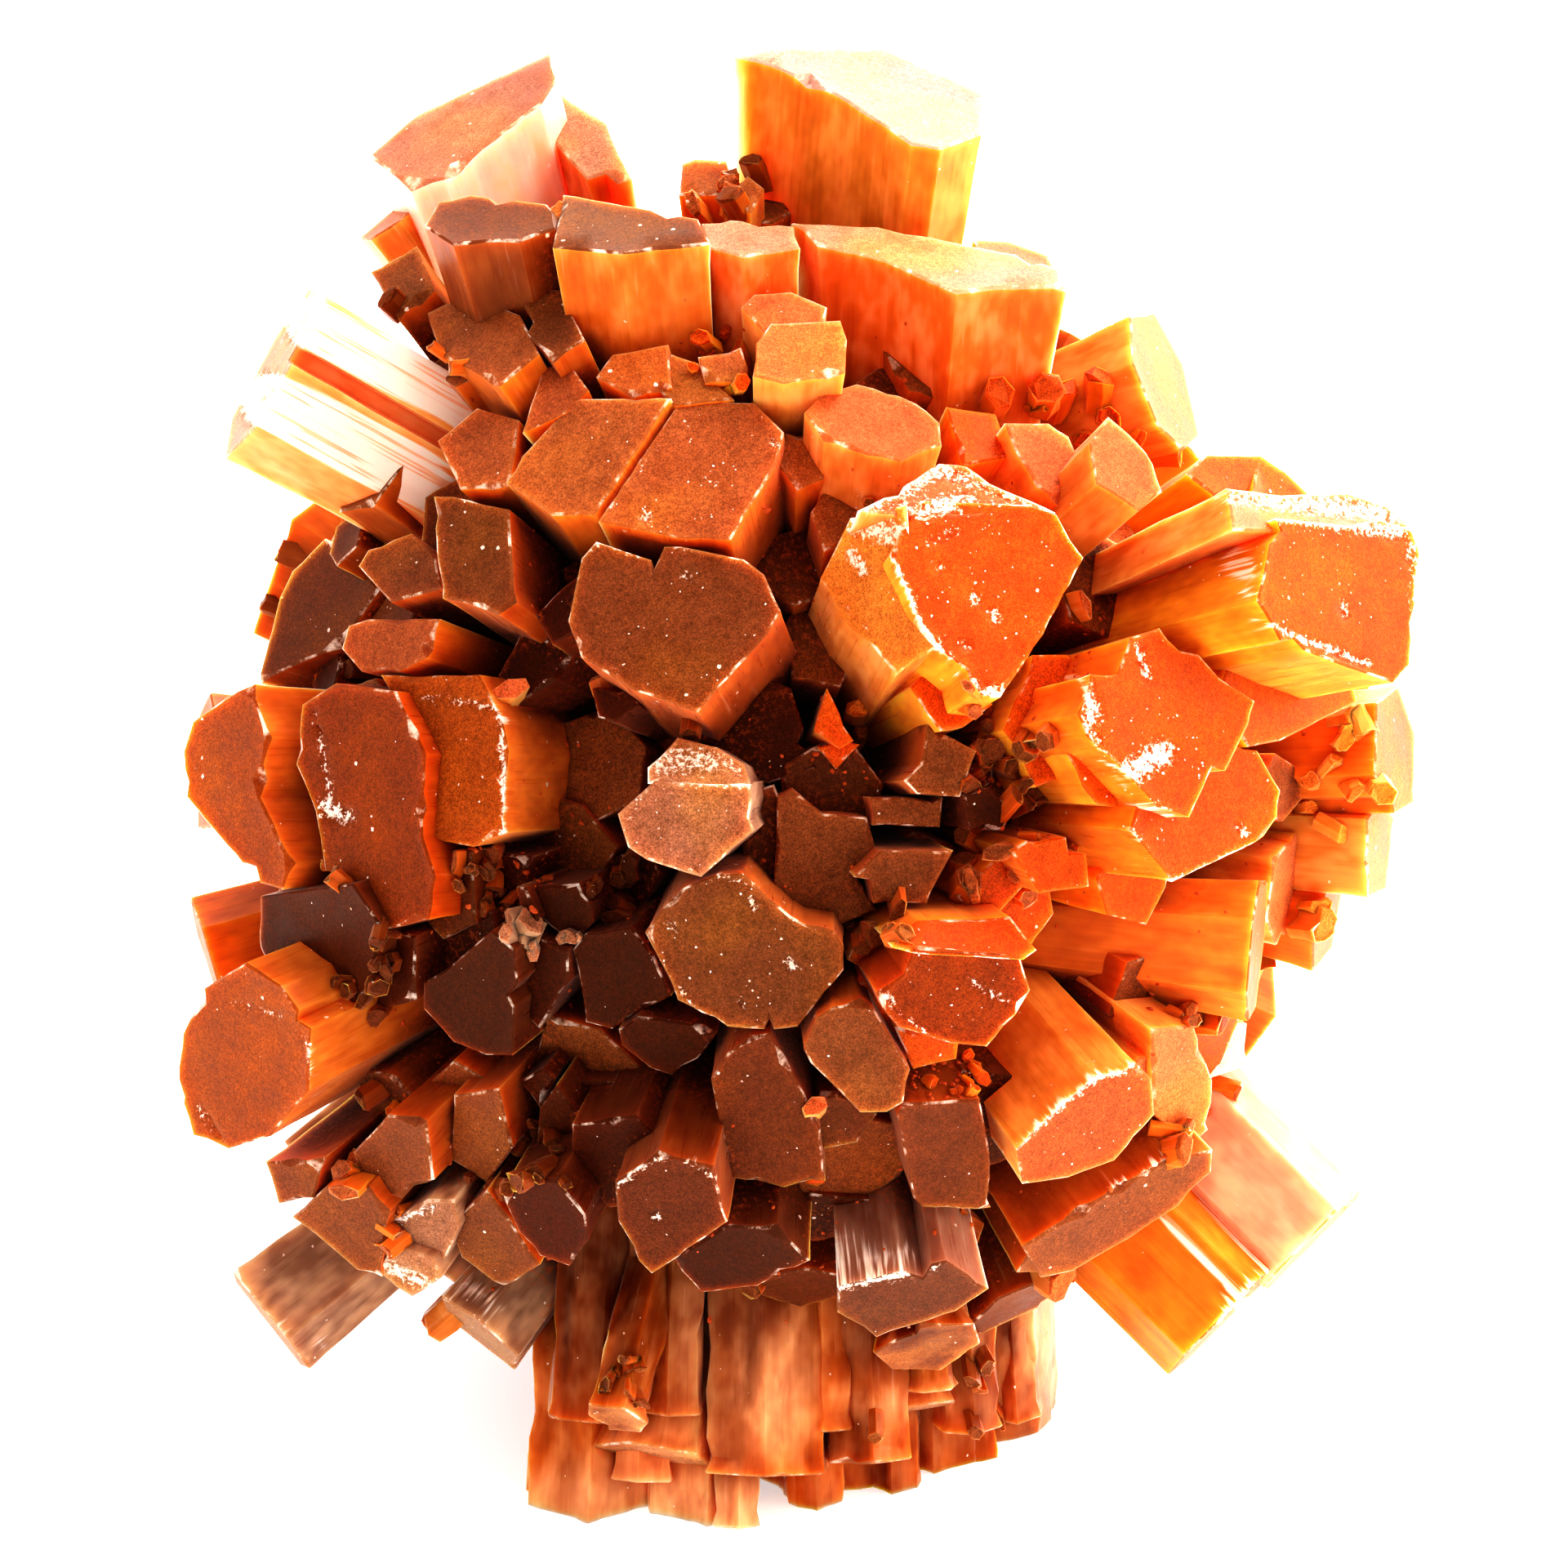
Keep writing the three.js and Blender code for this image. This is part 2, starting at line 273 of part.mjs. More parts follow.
// Short crystals down in the gaps between the long ones: [across, up, toward the front, width]
const GAP_CRYSTALS = [
  [-5.6, 0.6, 12.4, 3.4], [-6.6, -1.6, 12.2, 3.2], [1.2, 4.6, 13.8, 3.2], [0.4, 6.6, 13.8, 2.8],
  [7.2, 0.8, 13.8, 3.4], [-9.4, -10, 10.4, 3.6], [2.2, -11.4, 12, 3.6], [-6, -8.4, 12, 3.2],
  [9.6, 6, 13.2, 3.6], [-12.4, 9.8, 8.6, 3.6], [-12.6, 1.6, 9.8, 3.4], [8.8, -14, 7, 3.6],
  [-9, 13.4, 9.4, 3.6], [11.2, -6.4, 10.2, 3.4], [0.4, 14.6, 10, 4], [4.6, 13, 11, 3.6],
];

// ---- Shaping ---------------------------------------------------------------------------------------------

const FRONT = new THREE.Vector3(0, 0, 1);
const lean = THREE.MathUtils.degToRad(LEAN);
const FLOOR_UP = new THREE.Vector3(0, Math.cos(lean), Math.sin(lean));

// A repeatable spread of values from 0 to 1 for crystal number i
function scatter(i, channel) {
  const value = Math.sin(i * 12.9898 + channel * 78.233) * 43758.5453;
  return value - Math.floor(value);
}

function corners(outline) {
  return outline.map(([x, y]) => new THREE.Vector2(x, y));
}

// Prism of unit height from an outline, with every corner then moved by place(x, y, atTip)
function prism(outline, place) {
  const shape = new THREE.Shape(corners(outline));
  const geometry = new THREE.ExtrudeGeometry(shape, { depth: 1, bevelEnabled: false });
  const position = geometry.attributes.position;
  for (let i = 0; i < position.count; i += 1) {
    const moved = place(position.getX(i), position.getY(i), position.getZ(i) > 0.5);
    position.setXYZ(i, moved.x, moved.y, moved.z);
  }
  return geometry;
}

// Crystal whose end face is given as it looks from the front
function facingCrystal({ face, tip, root = [0, 0, 0], slope }) {
  const middle = corners(face).reduce((sum, corner) => sum.add(corner), new THREE.Vector2());
  middle.divideScalar(face.length);
  const end = new THREE.Vector3(middle.x, middle.y, tip);
  const start = new THREE.Vector3(...root);
  const along = end.clone().sub(start);
  const square = new THREE.Vector2(-along.x / along.z, -along.y / along.z).clampLength(0, STEEPEST_END);
  const [fallAcross, fallUp] = slope ?? square.toArray();
  return prism(face, (x, y, atTip) => {
    const away = new THREE.Vector3(x - middle.x, y - middle.y, 0);
    away.z = fallAcross * away.x + fallUp * away.y;
    return atTip ? away.add(end) : away.multiplyScalar(ROOT_TAPER).add(start);
  });
}

// Crystal from root to tip with a section square to its length
function lyingCrystal({ tip, root, section, taper = ROOT_TAPER }) {
  const end = new THREE.Vector3(...tip);
  const start = new THREE.Vector3(...root);
  const along = end.clone().sub(start).normalize();
  const side = new THREE.Vector3().crossVectors(FRONT, along).normalize();
  const face = new THREE.Vector3().crossVectors(along, side);
  return prism(section, (x, y, atTip) => {
    const scale = atTip ? 1 : taper;
    const corner = side.clone().multiplyScalar(x * scale).addScaledVector(face, y * scale);
    return corner.add(atTip ? end : start);
  });
}

// Six-sided aragonite section: two long sides, four short ones, a little uneven
function hexagonSection(width, depth, turn, uneven = 0) {
  const angle = THREE.MathUtils.degToRad(turn);
  const outline = [];
  for (let k = 0; k < 6; k += 1) {
    const spoke = (k + 0.5) * Math.PI / 3;
    const reach = 1 + uneven * Math.sin(k * 2.4 + turn);
    const x = Math.cos(spoke) * reach * width * 0.55;
    const y = Math.sin(spoke) * reach * depth * 0.52;
    outline.push([x * Math.cos(angle) - y * Math.sin(angle), x * Math.sin(angle) + y * Math.cos(angle)]);
  }
  return outline;
}

// Twinned section: a hexagon with a re-entrant notch in two of its sides
function twinSection(width, depth, turn, notch) {
  const hexagon = hexagonSection(width, depth, turn, 0.08);
  const outline = [];
  hexagon.forEach(([x, y], k) => {
    outline.push([x, y]);
    if (k % 3 === 1) {
      const [nx, ny] = hexagon[(k + 1) % 6];
      const mid = [(x + nx) / 2, (y + ny) / 2];
      outline.push([mid[0] * 0.9 + x * 0.1, mid[1] * 0.9 + y * 0.1]);
      outline.push([mid[0] * (1 - notch), mid[1] * (1 - notch)]);
      outline.push([mid[0] * 0.9 + nx * 0.1, mid[1] * 0.9 + ny * 0.1]);
    }
  });
  return outline;
}

// Foot column: a block hanging down the front of the foot
function footColumn([across, width, depth, low, forwardLow, forwardTop, turn]) {
  const section = hexagonSection(width, depth, turn, 0.06);
  return lyingCrystal({
    tip: [across, low, forwardLow], root: [across * 0.9, FOOT_TOP, forwardTop], section, taper: 1,
  });
}

// Crystals of the hidden side, spread evenly round the core and kept inside the front outline
function backCrystals() {
  const found = [];
  const turnStep = Math.PI * (3 - Math.sqrt(5));
  for (let i = 0; i < BACK_COUNT; i += 1) {
    const toward = 1 - 2 * (i + 0.5) / BACK_COUNT;
    const spread = Math.sqrt(1 - toward * toward);
    const around = i * turnStep + 0.35 * (scatter(i, 1) - 0.5);
    const way = new THREE.Vector3(Math.cos(around) * spread, Math.sin(around) * spread, toward);
    if (toward < -0.02) {
      const outward = Math.hypot(way.x, way.y);
      const sideLimit = (BACK_SIDE_REACH + BACK_UP_REACH * Math.abs(way.y) / outward) / outward;
      const longReach = BACK_REACH * (0.84 + 0.22 * scatter(i, 2));
      const downward = -way.dot(FLOOR_UP);
      const floorLimit = downward > 0.1 ? (CORE_HEIGHT - FLOOR_CLEARANCE) / downward - 1.4 : BACK_REACH * 2;
      const reach = Math.min(longReach, sideLimit, floorLimit);
      const width = BACK_WIDTH + BACK_WIDTH_SPREAD * (scatter(i, 3) - 0.5);
      const depth = width * (0.72 + 0.34 * scatter(i, 4));
      const turn = 180 * scatter(i, 5);
      const twin = scatter(i, 6) > 0.62;
      const section = twin ? twinSection(width, depth, turn, 0.3) : hexagonSection(width, depth, turn, 0.09);
      const root = [scatter(i, 7) * 3 - 1.5, scatter(i, 8) * 3 - 1.5, scatter(i, 9) * 3 - 1.5];
      found.push(lyingCrystal({ tip: way.multiplyScalar(reach).toArray(), root, section }));
    }
  }
  return found;
}

function footCrystals() {
  return FEET.map(({ tip, width, depth, turn }) => lyingCrystal({
    tip, root: [0, 0, 0], section: hexagonSection(width, depth, turn, 0.07),
  }));
}

function gapCrystals() {
  return GAP_CRYSTALS.map(([across, up, toward, width], i) => lyingCrystal({
    tip: [across, up, toward],
    root: [across * 0.2, up * 0.2, toward * 0.2],
    section: hexagonSection(width, width * (0.75 + 0.3 * scatter(i, 11)), 180 * scatter(i, 12), 0.1),
  }));
}

// ---- Joining ---------------------------------------------------------------------------------------------

const wasm = await Module();
wasm.setup();

function solidFrom(geometry) {
  const plain = geometry.index ? geometry.toNonIndexed() : geometry.clone();
  plain.deleteAttribute('normal');
  plain.deleteAttribute('uv');
  const merged = mergeVertices(plain, 1e-5);
  return new wasm.Manifold(new wasm.Mesh({
    numProp: 3,
    vertProperties: new Float32Array(merged.attributes.position.array),
    triVerts: new Uint32Array(merged.index.array),
  }));
}

// Adding neighbours in pairs keeps the joins small
function joinAll(solids) {
  let round = solids;
  while (round.length > 1) {
    const next = [];
    for (let i = 0; i < round.length; i += 2) {
      next.push(i + 1 < round.length ? round[i].add(round[i + 1]) : round[i]);
    }
    round = next;
  }
  return round[0];
}

const crystals = [
  ...FACING.map(facingCrystal),
  ...LYING.map(lyingCrystal),
  ...FOOT_COLUMNS.map(footColumn),
  ...backCrystals(),
  ...footCrystals(),
  ...gapCrystals(),
  new THREE.IcosahedronGeometry(CORE_RADIUS, 1),
];

// Lean the front frame back and stand it over the floor
crystals.forEach((geometry) => {
  geometry.rotateX(Math.PI / 2 - lean);
  geometry.translate(0, 0, CORE_HEIGHT);
});

const belowFloor = new THREE.BoxGeometry(SLAB, SLAB, SLAB);
belowFloor.translate(0, 0, -SLAB / 2);

const cluster = joinAll(crystals.map(solidFrom)).subtract(solidFrom(belowFloor));

// Pockets shut in between crystals are grown over: only the outermost skin is kept
function outerSkin({ vertProperties, triVerts }) {
  const owner = Array.from({ length: vertProperties.length / 3 }, (_, i) => i);
  const find = (i) => {
    let top = i;
    while (owner[top] !== top) top = owner[top];
    owner[i] = top;
    return top;
  };
  for (let t = 0; t < triVerts.length; t += 3) {
    owner[find(triVerts[t + 1])] = find(triVerts[t]);
    owner[find(triVerts[t + 2])] = find(triVerts[t]);
  }
  const skins = new Map();
  for (let t = 0; t < triVerts.length; t += 3) {
    const top = find(triVerts[t]);
    if (!skins.has(top)) skins.set(top, []);
    skins.get(top).push(triVerts[t], triVerts[t + 1], triVerts[t + 2]);
  }
  return [...skins.values()].sort((a, b) => b.length - a.length)[0];
}

const joined = cluster.getMesh();
const body = new THREE.BufferGeometry();
body.setAttribute('position', new THREE.BufferAttribute(joined.vertProperties, 3));
body.setIndex(outerSkin(joined));
body.computeVertexNormals();

const aragonite = new THREE.MeshStandardMaterial({ color: 0xb5511f, roughness: 0.35, metalness: 0 });
const mesh = new THREE.Mesh(body, aragonite);
mesh.name = 'aragonite_cluster';

const group = new THREE.Group();
group.name = 'aragonite_sputnik_cluster';
group.add(mesh);

export default group;
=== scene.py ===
"""Aragonite sputnik cluster: the visual model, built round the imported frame."""

import math

import bmesh
import bpy
import numpy as np
from bpy.props import FloatProperty, FloatVectorProperty, IntProperty, PointerProperty
from mathutils import Matrix, Vector, noise
from mathutils.bvhtree import BVHTree
from mathutils.geometry import delaunay_2d_cdt


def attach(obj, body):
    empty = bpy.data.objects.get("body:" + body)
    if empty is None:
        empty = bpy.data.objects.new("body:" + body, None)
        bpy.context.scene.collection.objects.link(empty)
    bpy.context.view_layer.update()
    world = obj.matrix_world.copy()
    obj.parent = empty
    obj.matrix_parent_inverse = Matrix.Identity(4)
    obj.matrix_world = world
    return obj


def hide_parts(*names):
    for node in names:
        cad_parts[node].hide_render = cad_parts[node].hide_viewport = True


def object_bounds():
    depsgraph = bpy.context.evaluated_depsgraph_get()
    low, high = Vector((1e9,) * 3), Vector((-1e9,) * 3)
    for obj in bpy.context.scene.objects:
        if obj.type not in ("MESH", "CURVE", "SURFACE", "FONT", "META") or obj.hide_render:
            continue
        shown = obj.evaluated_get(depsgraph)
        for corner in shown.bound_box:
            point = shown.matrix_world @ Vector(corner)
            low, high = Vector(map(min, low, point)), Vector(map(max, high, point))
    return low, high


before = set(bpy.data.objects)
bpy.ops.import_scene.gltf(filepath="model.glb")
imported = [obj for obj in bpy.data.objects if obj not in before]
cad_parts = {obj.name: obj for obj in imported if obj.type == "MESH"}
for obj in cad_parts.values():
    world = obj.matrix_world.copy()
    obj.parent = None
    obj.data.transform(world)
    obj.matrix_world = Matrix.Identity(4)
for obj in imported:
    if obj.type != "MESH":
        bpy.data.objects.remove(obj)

bl_info = {
    "name": "Aragonite sputnik cluster",
    "version": (1, 0, 0),
    "blender": (4, 5, 0),
    "location": "3D View > Sidebar > Aragonite",
    "description": "Flat-ended, striated aragonite crystals grown outward from one core",
    "category": "Object",
}


# ---- Frame -----------------------------------------------------------------------------------

CAD_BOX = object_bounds()
NODE = "aragonite_cluster"
MM = 0.001

# The crystals are placed in the cluster's own front frame, in millimetres from the middle of the core:
# across (to the right), up, and toward the front. It leans back and stands over the floor.
CORE_HEIGHT = 18.8
CORE_RADIUS = 12.0
LEAN = math.radians(25)
MIDDLE = Vector((0, 0, CORE_HEIGHT * MM))
TOWARD_EYE = Vector((0, -math.cos(LEAN), math.sin(LEAN)))

# A look from the front starts this far out (mm) and ends after this length (m);
# a look inward from all round starts this far from the middle (m)
LOOK_FROM = 40
LOOK_LENGTH = 0.08
LOOK_AROUND = 0.06

# Turn from one to the next of many ways that are spread evenly
GOLDEN_TURN = math.pi * (3 - math.sqrt(5))

# How wide a crystal's root is beside its end, and the steepest fall of an end face that stands square
TAPER = 0.62
STEEPEST_END = 1.35
CORE = (0, 0, 0)
SQUARE = None

# Crystals of the hidden side: how many are spread all round, reach and width (mm), where the side starts
# (how far toward the front), and from which spread value on a crystal is a twin
BACK_COUNT = 84
BACK_REACH = 18.6
BACK_SIDE_REACH = 14.2
BACK_UP_REACH = 2.4
BACK_WIDTH = 6.2
BACK_WIDTH_SPREAD = 2.6
BACK_STARTS = -0.02
FLOOR_CLEARANCE = 0.5
TIP_HALF_WIDTH = 1.4
TWIN_ABOVE = 0.62

# Smaller crystals in the gaps: ways tried, how close two may stand, which ways are neighbours (cosine),
# how deep a hollow must be, and how low a tip may stand over the floor
FILL_TRIES = 2600
FILL_CLOSEST = math.cos(math.radians(9.5))
FILL_NEIGHBOUR = math.cos(math.radians(13))
FILL_HOLLOW = 2.4
FILL_LOWEST = 1.2
# An end face: how squarely it looks outward and to the front (cosine), and where it is probed (mm)
END_SQUARE_ON = 0.7
END_TOWARD_EYE = 0.72
END_PROBES = ((0, 0), (0.9, 0), (-0.9, 0), (0, 0.9), (0, -0.9))

# Seeds of the random draws
CRYSTAL_SEED = 11
SMALL_SEED = 23
GRIT_SEED = 37


# ---- Tones of the crystals -------------------------------------------------------------------

DARK, UMBER, BROWN, RUSSET, ROSE, SALMON, ORANGE, AMBER, EMBER, HONEY = range(10)
PALE, MILKY, SMOKY, PEACH, SHEEN, BLUSH, GLOW, RUST, LEDGE, COPPER, BLOOM = range(10, 21)

# Colour of a crystal's ends and of its sides, how milky it is, how much its sides darken below the end
# (painted shade)
# The tones are partly painted light and shade: the darkest stand mostly where the cluster lies in shade
# on the lower left, pale and glowing ones (GLOW, PALE, PEACH, BLOOM, SHEEN) where light falls on it or
# shines through it, and ends are darker than sides partly as painted shade
TONES = {
    DARK: ((0.080, 0.014, 0.003), (0.190, 0.048, 0.015), 0.0, 0.6),
    UMBER: ((0.155, 0.041, 0.012), (0.330, 0.085, 0.018), 0.0, 0.6),
    BROWN: ((0.235, 0.073, 0.023), (0.560, 0.140, 0.024), 0.0, 0.65),
    RUSSET: ((0.380, 0.112, 0.036), (0.800, 0.220, 0.032), 0.0, 0.6),
    ROSE: ((0.420, 0.220, 0.130), (0.920, 0.360, 0.120), 0.2, 0.0),
    SALMON: ((0.560, 0.155, 0.056), (0.940, 0.360, 0.090), 0.12, 0.35),
    ORANGE: ((0.570, 0.096, 0.011), (0.960, 0.290, 0.032), 0.0, 0.35),
    AMBER: ((0.740, 0.230, 0.046), (0.970, 0.360, 0.075), 0.15, 0.2),
    EMBER: ((0.270, 0.056, 0.008), (0.640, 0.130, 0.014), 0.0, 0.5),
    HONEY: ((0.330, 0.105, 0.032), (0.500, 0.120, 0.016), 0.1, 0.0),
    PALE: ((0.900, 0.560, 0.430), (0.970, 0.370, 0.075), 0.1, 0.1),
    MILKY: ((0.430, 0.160, 0.095), (0.940, 0.660, 0.500), 0.7, 0.0),
    SMOKY: ((0.390, 0.175, 0.095), (0.420, 0.235, 0.150), 0.25, 0.3),
    PEACH: ((0.540, 0.240, 0.140), (0.930, 0.230, 0.040), 0.2, 0.2),
    SHEEN: ((0.160, 0.050, 0.019), (0.440, 0.210, 0.140), 0.0, 0.5),
    BLUSH: ((0.580, 0.190, 0.048), (0.940, 0.440, 0.280), 0.6, 0.1),
    GLOW: ((0.560, 0.094, 0.011), (0.975, 0.390, 0.045), 0.0, 0.0),
    RUST: ((0.350, 0.080, 0.010), (0.840, 0.260, 0.050), 0.0, 0.3),
    LEDGE: ((0.170, 0.052, 0.018), (0.800, 0.220, 0.030), 0.1, 0.1),
    BLOOM: ((0.520, 0.310, 0.240), (0.970, 0.400, 0.070), 0.1, 0.0),
    COPPER: ((0.450, 0.112, 0.030), (0.950, 0.390, 0.090), 0.05, 0.1),
}
# Tone of a smaller crystal beside a crystal of each tone, where it isn't the same
DEEPER = {
    UMBER: DARK, BROWN: UMBER, RUSSET: BROWN, EMBER: RUST, ROSE: RUSSET, MILKY: SALMON, PALE: ORANGE,
    PEACH: RUSSET, SHEEN: UMBER, BLUSH: SALMON, GLOW: ORANGE, RUST: BROWN, LEDGE: BROWN,
    COPPER: RUSSET, BLOOM: ORANGE,
}
# How far the painted shade of the gaps takes hold, where it isn't 1
SHADE_HOLD = {
    SALMON: 0.7, ORANGE: 0.62, AMBER: 0.6, HONEY: 0.6, PALE: 0.6, PEACH: 0.6, GLOW: 0.3, COPPER: 0.5,
    BLOOM: 0.4, ROSE: 0.5, BLUSH: 0.5, MILKY: 0.5, RUSSET: 0.85,
}
# Tones of the hidden side, in turn, and of the foot
BACK_TONES = (RUSSET, ORANGE, BROWN, RUSSET, RUST, SALMON, BROWN)
FOOT_TONE = HONEY


# ---- Crystals whose end faces look toward the front ------------------------------------------

